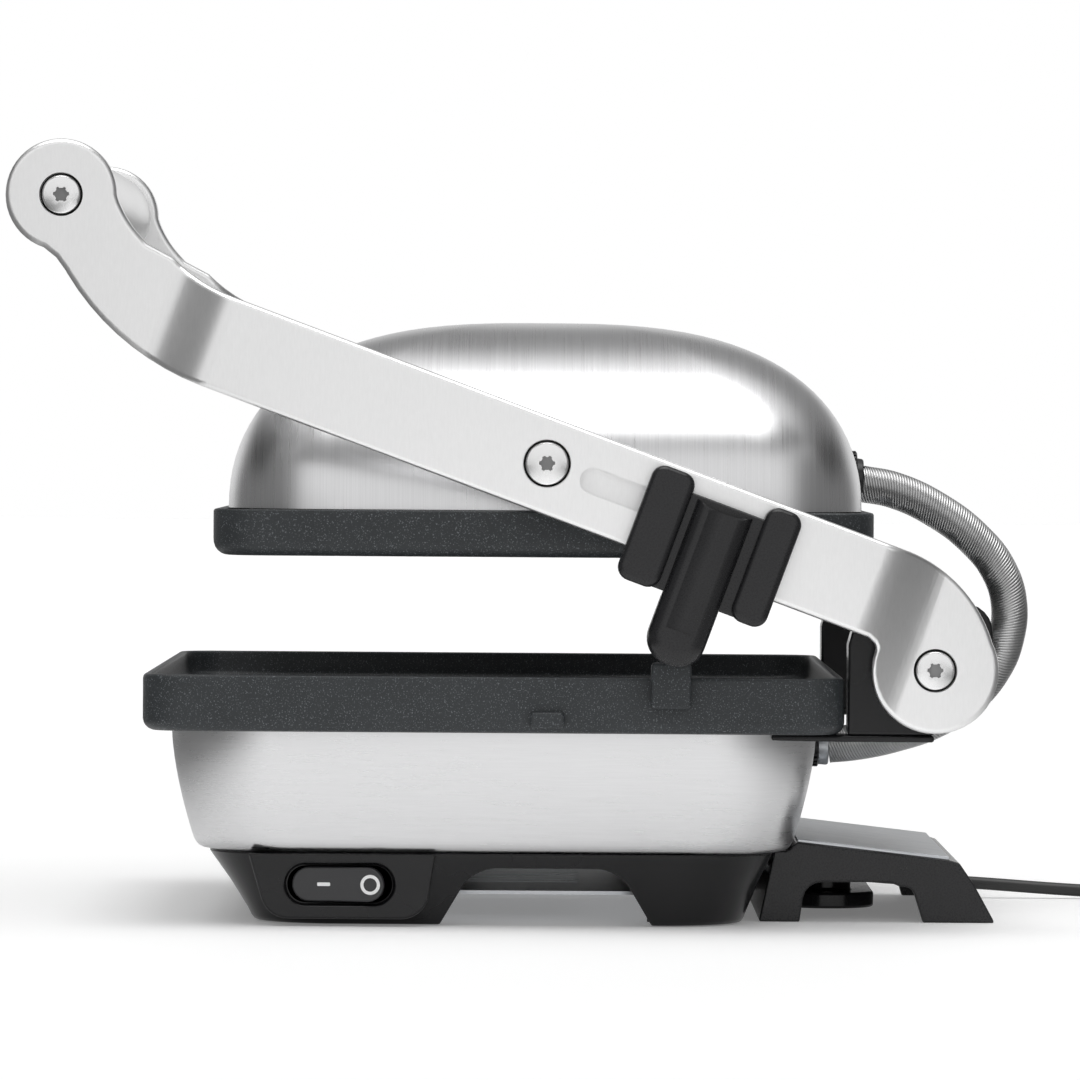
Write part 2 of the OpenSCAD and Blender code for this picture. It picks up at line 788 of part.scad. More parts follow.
module conduit_gland_upper() {
    color(black) {
        pin_y(118, 125, 6.5, gland_up_at);
        pin_y(125.8, 127.6, 10.2, gland_up_at);
        pin_y(124, 126, 6.5, gland_up_at);
    }
}

// ---------- height slider ----------

slider_face = arm_out + 0.3;

module height_slider() {
    s = slider_s;
    finger_x0 = 155.2;
    color(black) difference() {
        union() {
            // front plate, with raised panels and ribs across it
            side(slider_face, 169.5) on_arm() round_rect([s, -27], [s + 53, 13.5], 4.5);
            side(169.4, 172.5) on_arm() round_rect([s, -27], [s + 15, 13.5], 4.5);
            side(169.4, 174) on_arm() round_rect([s + 18, -27], [s + 37, 8], 4);
            side(169.4, 172.5) on_arm() round_rect([s + 40, -27], [s + 53, 13.5], 4.5);
            // wrap under the arm and the finger that sets the height
            side(finger_x0, slider_face + 1) on_arm() round_rect([s + 2, -27], [s + 51, -16.8], 3);
            side(finger_x0, 174) on_arm() round_rect([s + 18, -49], [s + 37, -17], 9.4);
        }
        pin_x(150, 169, 3 + fit, slider_bolt());
        pin_x(167, 180, 6, slider_bolt());
    }
}

// Place of the slider's clamp screw, in (y, z)
function slider_bolt() = let (s = slider_s + 26) pivot + s * [cos(arm_slope), -sin(arm_slope)];

module slider_guide() {
    color(zinc) difference() {
        side(arm_x + 0.2, arm_out + 0.25) on_arm() round_rect([slider_s + 18, -4.4], [slider_s + 34, 4.4], 4.3);
        pin_x(arm_x - 1, slider_face + 1, 3 + fit, slider_bolt());
    }
}

module slider_back_plate() {
    color(zinc) difference() {
        side(arm_x - 2.6, arm_x - 0.3) on_arm() round_rect([slider_s + 16, -12], [slider_s + 36, 12], 4);
        pin_x(arm_x - 4, arm_x + 1, 3 + fit, slider_bolt());
    }
}

module slider_screw() {
    color(bright) {
        pin_x(143.4, 146, 5.6, slider_bolt());
        pin_x(146, 168.9, 3, slider_bolt());
    }
}

// Coil spring that holds the slider against the arm
module slider_spring() {
    turns = 3;
    at = slider_bolt();
    color(zinc) tube([
        for (i = [0:turns * 10])
            let (a = 36 * i) [146.6 + 3.1 * i / (turns * 10), at[0] + 4.4 * cos(a), at[1] + 4.4 * sin(a)]
    ], 0.45, 6, [1, 0, 0]);
}

module flex_conduit() {
    color(braid) tube(smooth(conduit_route, 3), conduit_d / 2, 12, [1, 0, 0]);
}

placed() base_tray();
placed() bottom_pan();
placed() base_screws();
placed() rubber_feet();
placed() lower_housing();
placed() lower_plate();
placed() lower_element();
placed() lower_reflector();
placed() lower_thermostat();
placed() thermal_cutout();
placed() terminal_block();
placed() switch_panel();
placed() switch_body();
placed() rocker();
placed() rear_deck();
placed() rear_deck_cover();
placed() deck_screws();
placed() cord_spool();
placed() hinge_bracket_left();
placed() hinge_bracket_right();
placed() hinge_bushes();
placed() bracket_screws();
placed() conduit_gland_lower();
placed() strain_relief();
placed() cord();
placed() cord_coil();
placed() cord_tail();
placed() plug();
placed() hinge_shaft();
placed() hinge_bolts();
placed() arm_right();
placed() arm_left();
placed() handle_tube();
placed() handle_rod();
placed() handle_caps();
placed() handle_bolts();
placed() pivot_bolts();
placed() pivot_washers();
placed() upper_housing();
placed() upper_plate();
placed() upper_element();
placed() upper_reflector();
placed() upper_thermostat();
placed() pivot_brackets();
placed() upper_screws();
placed() conduit_gland_upper();
placed() height_slider();
placed() slider_guide();
placed() slider_back_plate();
placed() slider_screw();
placed() slider_spring();
placed() flex_conduit();
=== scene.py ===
import json
import math

import bmesh
import bpy
from mathutils import Euler, Matrix, Vector


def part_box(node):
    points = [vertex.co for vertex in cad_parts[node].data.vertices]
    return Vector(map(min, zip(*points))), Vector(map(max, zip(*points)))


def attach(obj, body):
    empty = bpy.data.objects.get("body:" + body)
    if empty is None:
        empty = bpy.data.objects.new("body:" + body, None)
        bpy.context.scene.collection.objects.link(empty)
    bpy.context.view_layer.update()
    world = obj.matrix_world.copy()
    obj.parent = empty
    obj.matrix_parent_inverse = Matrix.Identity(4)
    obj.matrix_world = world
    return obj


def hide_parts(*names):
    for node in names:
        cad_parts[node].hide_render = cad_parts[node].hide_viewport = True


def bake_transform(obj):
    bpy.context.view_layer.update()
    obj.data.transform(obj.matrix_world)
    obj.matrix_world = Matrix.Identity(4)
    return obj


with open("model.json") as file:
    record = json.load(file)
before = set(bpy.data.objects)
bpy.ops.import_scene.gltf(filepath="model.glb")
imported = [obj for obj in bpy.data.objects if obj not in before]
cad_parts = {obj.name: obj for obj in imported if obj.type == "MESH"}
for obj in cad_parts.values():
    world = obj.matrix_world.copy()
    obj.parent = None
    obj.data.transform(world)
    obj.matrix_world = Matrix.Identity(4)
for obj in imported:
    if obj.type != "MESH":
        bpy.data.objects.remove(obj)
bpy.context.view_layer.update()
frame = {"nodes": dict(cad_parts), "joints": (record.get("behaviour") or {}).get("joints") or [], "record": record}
scene = bpy.context.scene
mm = 0.001
joints = {joint["name"]: joint for joint in frame["joints"]}
hinge = Vector(joints["arm_open"]["pos_m"])
pivot = Vector(joints["lid_level"]["pos_m"])
slideAxis = joints["slider_move"]["axis"]
armSlope = math.atan2(slideAxis[2], -slideAxis[1])
slotOf = {row["node"]: row["material_slot"] for row in frame["record"]["subparts"]}
bodyOf = {node: body for body, nodes in frame["record"]["behaviour"]["bodies"].items() for node in nodes}


def middle(node):
    low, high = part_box(node)
    return (low + high) / 2


grip = middle("handle_tube")
midX = grip.x
xAxis = Vector((1, 0, 0))


# camera, looking along -X from the right side; place in millimetres, angles in degrees
cameraSet = {"place": (2844, 3.8, 169), "lens": 267.5, "pitch": 0.785, "roll": 0.4}


def makeCamera(look):
    data = bpy.data.cameras.new("sideCamera")
    data.lens = look["lens"]
    data.sensor_width = 36
    data.clip_end = 60
    camera = bpy.data.objects.new("sideCamera", data)
    scene.collection.objects.link(camera)
    camera.location = Vector(look["place"]) * mm
    camera.rotation_mode = "QUATERNION"
    level = Euler((math.radians(90 - look["pitch"]), 0, math.radians(90))).to_quaternion()
    camera.rotation_quaternion = level @ Euler((0, 0, math.radians(look["roll"]))).to_quaternion()
    scene.camera = camera


makeCamera(cameraSet)
print("camera placed")


# shader maths

class Wire:
    def __init__(self, nodes, socket):
        self.nodes = nodes
        self.socket = socket

    def maths(self, operation, *values):
        return self.nodes.add("ShaderNodeMath", {"operation": operation}, dict(enumerate(values)))

    def __add__(self, other):
        return self.maths("ADD", self, other)

    def __radd__(self, other):
        return self.maths("ADD", other, self)

    def __sub__(self, other):
        return self.maths("SUBTRACT", self, other)

    def __rsub__(self, other):
        return self.maths("SUBTRACT", other, self)

    def __mul__(self, other):
        return self.maths("MULTIPLY", self, other)

    def __abs__(self):
        return self.maths("ABSOLUTE", self)

    def ramp(self, start, end):
        # 0 below start and 1 above end, turning softly between them
        settings = {"interpolation_type": "SMOOTHSTEP"}
        return self.nodes.add("ShaderNodeMapRange", settings, {"Value": self, "From Min": start, "From Max": end})

    def band(self, low, high, soft):
        # 1 between low and high, and 0 outside
        return self.ramp(low - soft, low + soft) * (1 - self.ramp(high - soft, high + soft))


class Nodes:
    def __init__(self, tree):
        self.tree = tree

    def add(self, kind, settings=None, values=None, output=0):
        node = self.tree.nodes.new(kind)
        for name, value in (settings or {}).items():
            setattr(node, name, value)
        for name, value in (values or {}).items():
            if isinstance(value, Wire):
                self.tree.links.new(value.socket, node.inputs[name])
            else:
                node.inputs[name].default_value = value
        return Wire(self, node.outputs[output])

    def place(self, scale=(1, 1, 1)):
        spot = self.add("ShaderNodeTexCoord", output="Object")
        return self.add("ShaderNodeMapping", None, {"Vector": spot, "Scale": scale})

    def noise(self, scale, detail=2.0, roughness=0.5):
        # scale is the number of grains to a metre along each axis
        values = {"Vector": self.place(scale), "Scale": 1.0, "Detail": detail, "Roughness": roughness}
        return self.add("ShaderNodeTexNoise", None, values)

    def mix(self, share, first, second):
        return self.add("ShaderNodeMix", {"data_type": "RGBA"}, {0: share, 6: first, 7: second}, 2)

    def bump(self, height, strength, depth):
        return self.add("ShaderNodeBump", None, {"Height": height, "Strength": strength, "Distance": depth})


class Finish(Nodes):
    # a material with one Principled shader; fixed holds its constant sockets
    def __init__(self, name, fixed):
        self.material = bpy.data.materials.new(name)
        self.material.use_nodes = True
        super().__init__(self.material.node_tree)
        self.shader = self.tree.nodes["Principled BSDF"]
        for socket, value in fixed.items():
            self.shader.inputs[socket].default_value = value

    def drive(self, socket, wire):
        self.tree.links.new(wire.socket, self.shader.inputs[socket])


def grey(value, tint=1.0):
    return (value, value, value * tint, 1)


# finishes, one for each material slot of the record

def brushedMetal(name, look):
    # fine lines along the brushing, broken up by a wide faint cloud
    finish = Finish(name, {"Metallic": 1.0})
    lines = finish.noise(look["lines"], 3, 0.65)
    cloud = finish.noise((25, 25, 25), 2)
    shade = (lines - 0.5) * look["contrast"] + (cloud - 0.5) * 0.25 + 0.5
    finish.drive("Base Color", finish.mix(shade, look["dark"], look["light"]))
    finish.drive("Roughness", (lines - 0.5) * look["roughSpread"] + (cloud - 0.5) * 0.06 + look["rough"])
    finish.drive("Normal", finish.bump(lines, look["bump"], 0.03 * mm))
    return finish.material


def castPlate(name, look):
    # dark coating with a fine grain, sprinkled with small pale flecks
    finish = Finish(name, {"Specular IOR Level": look["gloss"]})
    grain = finish.noise((look["grain"],) * 3, 3, 0.6)
    fleck = finish.noise((look["flecks"],) * 3, 1).ramp(*look["fleckFrom"])
    patch = finish.noise((60, 60, 60), 2)
    coat = finish.mix(patch, look["dark"], look["light"])
    finish.drive("Base Color", finish.mix(fleck, coat, look["fleck"]))
    finish.drive("Roughness", look["rough"] + grain * look["roughSpread"])
    finish.drive("Normal", finish.bump(grain, look["bump"], 0.12 * mm))
    return finish.material


def mouldedPlastic(name, look):
    # a fine grain on the surface, and a slow change of tone under it
    finish = Finish(name, {"Specular IOR Level": look.get("gloss", 0.5)})
    grain = finish.noise((look["grain"],) * 3, 3, 0.6)
    wave = finish.noise((40, 40, 40), 2)
    finish.drive("Base Color", finish.mix(wave, look["dark"], look["light"]))
    finish.drive("Roughness", look["rough"] + (grain - 0.5) * look["roughSpread"])
    finish.drive("Normal", finish.bump(grain, look["bump"], 0.05 * mm))
    return finish.material


def plainMetal(name, look):
    # turned, plated or sintered metal with no direction in its grain
    finish = Finish(name, {"Metallic": 1.0})
    grain = finish.noise((look["grain"],) * 3, 3, 0.6)
    cloud = finish.noise((90, 90, 90), 3)
    finish.drive("Base Color", finish.mix(cloud, look["dark"], look["light"]))
    finish.drive("Roughness", look["rough"] + (grain - 0.5) * 0.2)
    finish.drive("Normal", finish.bump(grain, 0.12, 0.03 * mm))
    return finish.material


steelLook = {"dark": grey(0.62, 1.01), "light": grey(0.80, 1.01), "rough": 0.29, "roughSpread": 0.12, "contrast": 1.1}
finishes = {
    "brushed_steel": brushedMetal("brushedSteel", {**steelLook, "lines": (14, 2000, 14), "bump": 0.25}),
    "shell_steel": brushedMetal("shellSteel", {**steelLook, "lines": (60, 60, 1500), "bump": 0.14, "contrast": 0.5}),
    "brushed_aluminium": brushedMetal("satinAluminium", {
        "dark": grey(0.85), "light": grey(0.96), "rough": 0.34, "roughSpread": 0.14, "contrast": 0.9,
        "lines": (300, 1700, 260), "bump": 0.2}),
    "coated_plate": castPlate("castPlate", {
        "dark": (0.019, 0.022, 0.024, 1), "light": (0.032, 0.036, 0.039, 1), "fleck": (0.13, 0.14, 0.15, 1),
        "rough": 0.36, "roughSpread": 0.22, "grain": 1500, "flecks": 2100, "fleckFrom": (0.60, 0.72),
        "bump": 0.35, "gloss": 0.36}),
    "black_gloss": mouldedPlastic("glossBlack", {
        "dark": grey(0.006, 1.08), "light": grey(0.011, 1.08), "rough": 0.2, "roughSpread": 0.1,
        "grain": 900, "bump": 0.08, "gloss": 0.32}),
    "black_satin": mouldedPlastic("satinBlack", {
        "dark": grey(0.009, 1.1), "light": grey(0.014, 1.1), "rough": 0.28, "roughSpread": 0.14,
        "grain": 1600, "bump": 0.12, "gloss": 0.4}),
    "rocker_black": mouldedPlastic("rockerBlack", {
        "dark": grey(0.02, 1.08), "light": grey(0.03, 1.08), "rough": 0.33, "roughSpread": 0.15,
        "grain": 1800, "bump": 0.15}),
    "inner_plastic": mouldedPlastic("switchCase", {
        "dark": grey(0.03), "light": grey(0.045), "rough": 0.5, "roughSpread": 0.2, "grain": 900, "bump": 0.2}),
    "rubber_black": mouldedPlastic("padRubber", {
        "dark": grey(0.012), "light": grey(0.02), "rough": 0.75, "roughSpread": 0.2, "grain": 1200, "bump": 0.4}),
    "lead_black": mouldedPlastic("leadBlack", {
        "dark": grey(0.014), "light": grey(0.022), "rough": 0.42, "roughSpread": 0.15, "grain": 1500, "bump": 0.2}),
    "ceramic_white": mouldedPlastic("steatite", {
        "dark": (0.62, 0.58, 0.48, 1), "light": (0.78, 0.75, 0.66, 1), "rough": 0.55, "roughSpread": 0.2,
        "grain": 1500, "bump": 0.3}),
    "mark_white": mouldedPlastic("markWhite", {
        "dark": grey(0.8), "light": grey(0.88), "rough": 0.4, "roughSpread": 0.1, "grain": 900, "bump": 0.05}),
    "bolt_steel": plainMetal("boltSteel", {"dark": grey(0.78), "light": grey(0.9), "rough": 0.22, "grain": 700}),
    # painted shade: darker metal for the disc at the bottom of each bolt socket
    "socket_steel": plainMetal("socketSteel", {"dark": grey(0.24), "light": grey(0.34), "rough": 0.5, "grain": 700}),
    "zinc_steel": plainMetal("zincSteel", {
        "dark": (0.45, 0.47, 0.50, 1), "light": (0.62, 0.63, 0.64, 1), "rough": 0.38, "grain": 1200}),
    "shaft_steel": plainMetal("shaftSteel", {"dark": grey(0.5), "light": grey(0.6), "rough": 0.25, "grain": 900}),
    "heater_steel": plainMetal("heaterSteel", {
        "dark": (0.16, 0.14, 0.13, 1), "light": (0.34, 0.31, 0.29, 1), "rough": 0.5, "grain": 900}),
    "reflector_sheet": plainMetal("reflectorSheet", {
        "dark": grey(0.8), "light": grey(0.9), "rough": 0.16, "grain": 400}),
    "bronze": plainMetal("sinteredBronze", {
        "dark": (0.42, 0.26, 0.10, 1), "light": (0.62, 0.42, 0.2, 1), "rough": 0.42, "grain": 1800}),
    "steel_braid": plainMetal("conduitSteel", {
        "dark": grey(0.42), "light": grey(0.62), "rough": 0.33, "grain": 1500}),
}
print("finishes made")


# modelling helpers

def deselectAll():
    if bpy.context.object and bpy.context.object.mode != "OBJECT":
        leaveEdit()
    bpy.ops.object.select_all(action="DESELECT")


def leaveEdit():
    bpy.ops.object.mode_set(mode="OBJECT")


def take(piece):
    deselectAll()
    piece.select_set(True)
    bpy.context.view_layer.objects.active = piece


def settle(piece):
    # puts the place, turn and size into the mesh
    take(piece)
    bpy.ops.object.transform_apply(location=True, rotation=True, scale=True)


def named(name):
    piece = bpy.context.object
    piece.name = name
    piece.data.name = name
    return piece


def edit(piece, kind):
    take(piece)
    bpy.ops.object.mode_set(mode="EDIT")
    bpy.ops.mesh.select_mode(type=kind)


def pickAll():
    bpy.ops.mesh.select_all(action="SELECT")


def turnOutwards():
    # points every face out of the closed shape
    pickAll()
    bpy.ops.mesh.normals_make_consistent(inside=False)


def extrude(x, y, z):
    bpy.ops.mesh.extrude_region_move(TRANSFORM_OT_translate={"value": (x, y, z)})


def resize(size, centre):
    bpy.ops.transform.resize(value=size, center_override=centre)


def choose(piece, kind, test):
    # selects in edit mode the verts, edges or faces that pass the test
    bpy.ops.mesh.select_all(action="DESELECT")
    mesh = bmesh.from_edit_mesh(piece.data)
    mesh.normal_update()
    for item in getattr(mesh, kind):
        if test(item):
            item.select_set(True)
    mesh.select_flush_mode()
    bmesh.update_edit_mesh(piece.data)


def chooseFaces(piece, test):
    edit(piece, "FACE")
    choose(piece, "faces", test)


def chooseEdges(piece, test):
    edit(piece, "EDGE")
    choose(piece, "edges", test)


def runsAlong(edge, axis):
    return abs((edge.verts[0].co - edge.verts[1].co).normalized().dot(axis)) > 0.99


def bevelChosen(width, steps):
    bpy.ops.mesh.bevel(offset=width, segments=steps, profile=0.5, affect="EDGES", clamp_overlap=False)


def useModifiers(piece):
    take(piece)
    for modifier in list(piece.modifiers):
        bpy.ops.object.modifier_apply(modifier=modifier.name)


def tidyMesh(piece, gap=0.005):
    edit(piece, "VERT")
    pickAll()
    bpy.ops.mesh.remove_doubles(threshold=gap * mm)
    turnOutwards()
    leaveEdit()


def smoothOnly(piece, angle=40):
    take(piece)
    bpy.ops.object.shade_smooth_by_angle(angle=math.radians(angle))


def soften(piece, width, steps=3, angle=32):
    # rounds every edge sharper than angle, and keeps the flat faces flat in the light
    smoothOnly(piece, angle)
    if width:
        roundEdges(piece, width, steps, angle, "MITER_ARC")
    evenShade(piece, angle + 25)


def roundEdges(piece, width, steps, angle, corners="MITER_SHARP"):
    rounding = piece.modifiers.new("rounding", "BEVEL")
    rounding.width = width * mm
    rounding.segments = steps
    rounding.limit_method = "ANGLE"
    rounding.angle_limit = math.radians(angle)
    rounding.use_clamp_overlap = False
    rounding.miter_outer = corners
    useModifiers(piece)


def evenShade(piece, angle):
    # smooth below the angle, with the larger faces leading
    smoothOnly(piece, angle)
    weights = piece.modifiers.new("weights", "WEIGHTED_NORMAL")
    weights.keep_sharp = True
    useModifiers(piece)


def giveWall(piece, sheet):
    # turns an open shell into sheet metal, inwards
    take(piece)
    wall = piece.modifiers.new("wall", "SOLIDIFY")
    wall.thickness = sheet * mm
    wall.offset = -1
    useModifiers(piece)


def carve(piece, cutters, operation="DIFFERENCE"):
    take(piece)
    for cutter in cutters:
        cut = piece.modifiers.new("cut", "BOOLEAN")
        cut.operation = operation
        cut.solver = "EXACT"
        cut.object = cutter
    useModifiers(piece)
    for cutter in cutters:
        bpy.data.objects.remove(cutter)


def castFrom(node, name):
    # a merged copy of a CAD node's mesh, to be finished as a piece of its own
    piece = bpy.data.objects.new(name, frame["nodes"][node].data.copy())
    scene.collection.objects.link(piece)
    piece.data.name = name
    edit(piece, "VERT")
    pickAll()
    bpy.ops.mesh.customdata_custom_splitnormals_clear()
    bpy.ops.mesh.remove_doubles(threshold=0.003 * mm)
    bpy.ops.mesh.dissolve_limited(angle_limit=math.radians(0.6))
    leaveEdit()
    return piece


def copyPiece(piece, name, turn=0.0, shift=(0, 0, 0)):
    # a copy with its own mesh, turned about the line straight up through the middle and shifted
    copy = piece.copy()
    copy.data = piece.data.copy()
    copy.name = name
    scene.collection.objects.link(copy)
    copy.rotation_euler = (0, 0, turn)
    copy.location = shift
    settle(copy)
    return copy


def finished(piece, body, slot, *nodes, look=None):
    piece.data.materials.clear()
    piece.data.materials.append(finishes[look or slot])
    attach(piece, body)
    if nodes:
        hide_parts(*nodes)
    return piece


def ringStack(name, corner, levels, steps=10):
    # a closed solid through level outlines with round corners: (z, half width, half depth, middle y)
    z, halfX, halfY, midY = levels[0]
    deselectAll()
    bpy.ops.mesh.primitive_plane_add(size=2, location=(midX, midY, z))
    piece = named(name)
    piece.scale = (halfX, halfY, 1)
    settle(piece)
    edit(piece, "VERT")
    pickAll()
    bpy.ops.mesh.bevel(offset=corner, segments=steps, affect="VERTICES")
    bpy.ops.mesh.select_mode(type="FACE")
    pickAll()
    for level in levels[1:]:
        rise = (0, level[3] - midY, level[0] - z)
        grow = (level[1] / halfX, level[2] / halfY, 1)
        z, halfX, halfY, midY = level
        extrude(*rise)
        resize(grow, (midX, midY, z))
    turnOutwards()
    leaveEdit()
    return piece


def boxPiece(name, low, high):
    deselectAll()
    low, high = Vector(low), Vector(high)
    bpy.ops.mesh.primitive_cube_add(size=1, location=(low + high) / 2)
    piece = named(name)
    piece.scale = high - low
    settle(piece)
    return piece


def softSlab(name, low, high, corner, rim, steps=6):
    # a block whose edges along X have the radius corner, and whose outer face has the rim radius
    piece = boxPiece(name, low, high)
    chooseEdges(piece, lambda edge: runsAlong(edge, xAxis))
    bevelChosen(corner, steps)
    top = max(low[0], high[0])
    chooseEdges(piece, lambda edge: all(abs(v.co.x - top) < 0.01 * mm for v in edge.verts))
    bevelChosen(rim, steps)
    leaveEdit()
    return piece


def turned(name, axis, at, profile, sides=64):
    # a turned solid along X, Y or Z through the point at. profile lists (place along the axis, radius)
    deselectAll()
    along, radius = profile[0]
    bpy.ops.mesh.primitive_circle_add(vertices=sides, radius=radius, fill_type="NGON", location=(0, 0, along))
    piece = named(name)
    settle(piece)
    edit(piece, "FACE")
    pickAll()
    for nextAlong, nextRadius in profile[1:]:
        extrude(0, 0, nextAlong - along)
        grow = nextRadius / radius
        resize((grow, grow, 1), (0, 0, nextAlong))
        along, radius = nextAlong, nextRadius
    turnOutwards()
    leaveEdit()
    piece.rotation_euler = {"X": (0, math.pi / 2, 0), "Y": (-math.pi / 2, 0, 0), "Z": (0, 0, 0)}[axis]
    piece.location = at
    settle(piece)
    return piece


def softCurve(name, points, steps):
    # a smooth open curve through the points
    data = bpy.data.curves.new(name, "CURVE")
    data.dimensions = "3D"
    data.resolution_u = steps
    spline = data.splines.new("BEZIER")
    spline.bezier_points.add(len(points) - 1)
    for knot, point in zip(spline.bezier_points, points):
        knot.co = point
        knot.handle_left_type = knot.handle_right_type = "AUTO"
    curve = bpy.data.objects.new(name, data)
    scene.collection.objects.link(curve)
    return curve, spline.calc_length()


def joined(name, parts):
    deselectAll()
    for part in parts:
        part.select_set(True)
    bpy.context.view_layer.objects.active = parts[0]
    bpy.ops.object.join()
    return named(name)


# mains lead, coil and plug

# route and tail in millimetres from the middle of the lower plate, as the CAD model draws them;
# each turn of the coil crosses over to its next place between the shares of a turn in cross
leadSet = {
    "x": -67, "diameter": 4.5, "coilTurns": 5.25, "coilRadius": 24, "coilY": 250, "coilSteps": 30,
    "cross": (0.70, 0.98),
    "route": [(118, 8.5), (130, 8), (145, 7), (160, 6.2), (175, 5.4), (190, 4.4), (205, 3.4),
              (222, 2.6)],
    "tail": [(-27, 278.3, 6.2), (-16, 277, 4.8), (-7, 273, 3.3), (0, 268, 3), (8, 264, 5),
             (16, 262.4, 7.4), (22, 262, 8)],
}
plateMid = Vector((midX, middle("lower_housing").y, 0))


def strandPlace(step, look):
    # a turn's place in the coil's section: out from the middle radius, and height
    d = look["diameter"]
    if step <= 2:
        return (1 - step) * d, d / 2
    if step <= 3:
        turn = math.pi * (step - 2)
        return -d - d / 2 * math.sin(turn), d / 2 + d / 2 * (1 - math.cos(turn))
    return (step - 4) * d, 1.5 * d


def leadPath(look):
    points = [(look["x"], y, z) for y, z in look["route"]]
    coilX = look["x"] + look["coilRadius"] + look["diameter"]
    steps = look["coilSteps"]
    crossFrom, crossTo = look["cross"]
    for i in range(int(steps * look["coilTurns"]) + 1):
        turns = i / steps
        whole, part = divmod(turns, 1)
        slide = min(max((part - crossFrom) / (crossTo - crossFrom), 0), 1)
        out, height = strandPlace(whole + slide * slide * (3 - 2 * slide), look)
        angle = math.pi - 2 * math.pi * turns
        radius = look["coilRadius"] + out
        x, y = coilX + radius * math.cos(angle), look["coilY"] + radius * math.sin(angle)
        points.append((x, y, height))
    return [plateMid + Vector(point) * mm for point in points + look["tail"]]


def makeLead(look):
    lead, length = softCurve("mainsLead", leadPath(look), 4)
    lead.data.bevel_depth = look["diameter"] / 2 * mm
    lead.data.bevel_resolution = 4
    return finished(lead, "base", "lead_black", "cord", "cord_coil", "cord_tail"), length


lead, leadLength = makeLead(leadSet)
print("lead made,", leadLength, "m long")

# the plug's body, its two blades and the ribbed neck that the lead enters, which is
# drawn as steps (place before the body, radius)
plugSet = {
    "length": 21, "nose": (0.72, 0.8), "corner": 4.5, "rim": 1.6,
    "blade": (1.5, 3.1, 3.2), "bladeRim": 0.35, "bladeGap": (3.9, 5.4),
    "neck": [(-9, 3.1), (-8, 3.6), (-4, 4.3), (-3.6, 3.7), (-2.4, 3.8), (-2, 5), (2, 5.4)],
}


def makePlug(look):
    low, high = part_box("plug")
    mid = (low + high) / 2
    front = low.x + look["length"] * mm
    body = boxPiece("plugBody", low, (front, high.y, high.z))
    chooseEdges(body, lambda edge: runsAlong(edge, xAxis))
    bevelChosen(look["corner"] * mm, 6)
    chooseFaces(body, lambda face: face.normal.x < -0.9)
    resize((1, *look["nose"]), mid)
    chooseEdges(body, lambda edge: not runsAlong(edge, xAxis) and edge.calc_face_angle(0) > 0.6)
    bevelChosen(look["rim"] * mm, 4)
    leaveEdit()
    profile = [(low.x + along * mm, radius * mm) for along, radius in look["neck"]]
    neck = turned("plugNeck", "X", (0, mid.y, mid.z), profile, 32)
    body = joined("plugBody", [body, neck])
    smoothOnly(body)
    blades = []
    thick, down, up = (size * mm for size in look["blade"])
    for y in (low.y + look["bladeGap"][0] * mm, high.y - look["bladeGap"][1] * mm):
        blade = boxPiece("plugBlade", (front - 1 * mm, y, mid.z - down), (high.x, y + thick, mid.z + up))
        chooseEdges(blade, lambda edge: all(v.co.x > high.x - 0.01 * mm for v in edge.verts))
        bevelChosen(look["bladeRim"] * mm, 3)
        blades.append(blade)
    blades = joined("plugBlades", blades)
    smoothOnly(blades)
    finished(blades, "base", "bolt_steel")
    return finished(body, "base", "lead_black", "plug"), blades


plugPieces = makePlug(plugSet)
print("lead and plug made")


# base

# half widths and depths at the foot and the top; the arch is low where it is widest
baseSet = {
    "foot": (119, 84.25), "top": (127, 97), "footY": 1.7, "topY": -0.8, "height": 25, "corner": 30,
    "archLow": (-18.8, 55), "archHigh": (-6.7, 42.7), "archAcross": (108, 134), "archTop": 19.9,
    "archCorner": 7.4, "rim": 0.5,
    "switchHole": ((110, -72, 6.4), (130, -32, 22.2)),
}


def baseLevel(share, z, inset, look):
    half = [f + share * (t - f) - inset for f, t in zip(look["foot"], look["top"])]
    y = look["footY"] + share * (look["topY"] - look["footY"])
    return z * mm, half[0] * mm, half[1] * mm, plateMid.y + y * mm


def archCutter(look, side):
    low, high = look["archLow"], look["archHigh"]
    x0, x1 = (midX + side * x * mm for x in look["archAcross"])
    z0, z1 = -1 * mm, look["archTop"] * mm
    y0, y1 = (plateMid.y + y * mm for y in low)
    cutter = boxPiece("archCutter", (min(x0, x1), y0, z0), (max(x0, x1), y1, z1))
    chooseFaces(cutter, lambda face: face.normal.z > 0.9)
    centreY = plateMid.y + sum(high) / 2 * mm
    narrow = (high[1] - high[0]) / (low[1] - low[0])
    resize((1, narrow, 1), (x0, centreY, z1))
    chooseEdges(cutter, lambda edge: runsAlong(edge, xAxis) and edge.verts[0].co.z > 0)
    bevelChosen(look["archCorner"] * mm, 8)
    leaveEdit()
    return cutter


def makeBase(look):
    h = look["height"]
    # share of the way up, height and inset: up the inner wall first, then round the foot and up outside
    levels = [(0.85, h - 3, 3), (0.05, 2, 3), (0, 0.5, 2.2), (0, 0.2, 1.6), (0.02, 0.7, 0.7)]
    levels += [(0.05, 2, 0.15), (0.12, 4.5, 0), (0.5, 14, 0), (0.96, h - 0.9, 0), (0.99, h - 0.25, 0.25), (1, h, 0.8)]
    tray = ringStack("baseTray", look["corner"] * mm, [baseLevel(*level, look) for level in levels], 12)
    hole = boxPiece("switchHole", *(plateMid + Vector(corner) * mm for corner in look["switchHole"]))
    carve(tray, [archCutter(look, 1), archCutter(look, -1), hole])
    tidyMesh(tray, 0.01)
    soften(tray, look["rim"], 3, 38)
    finished(tray, "base", "black_gloss", "base_tray")


makeBase(baseSet)
print("base made")

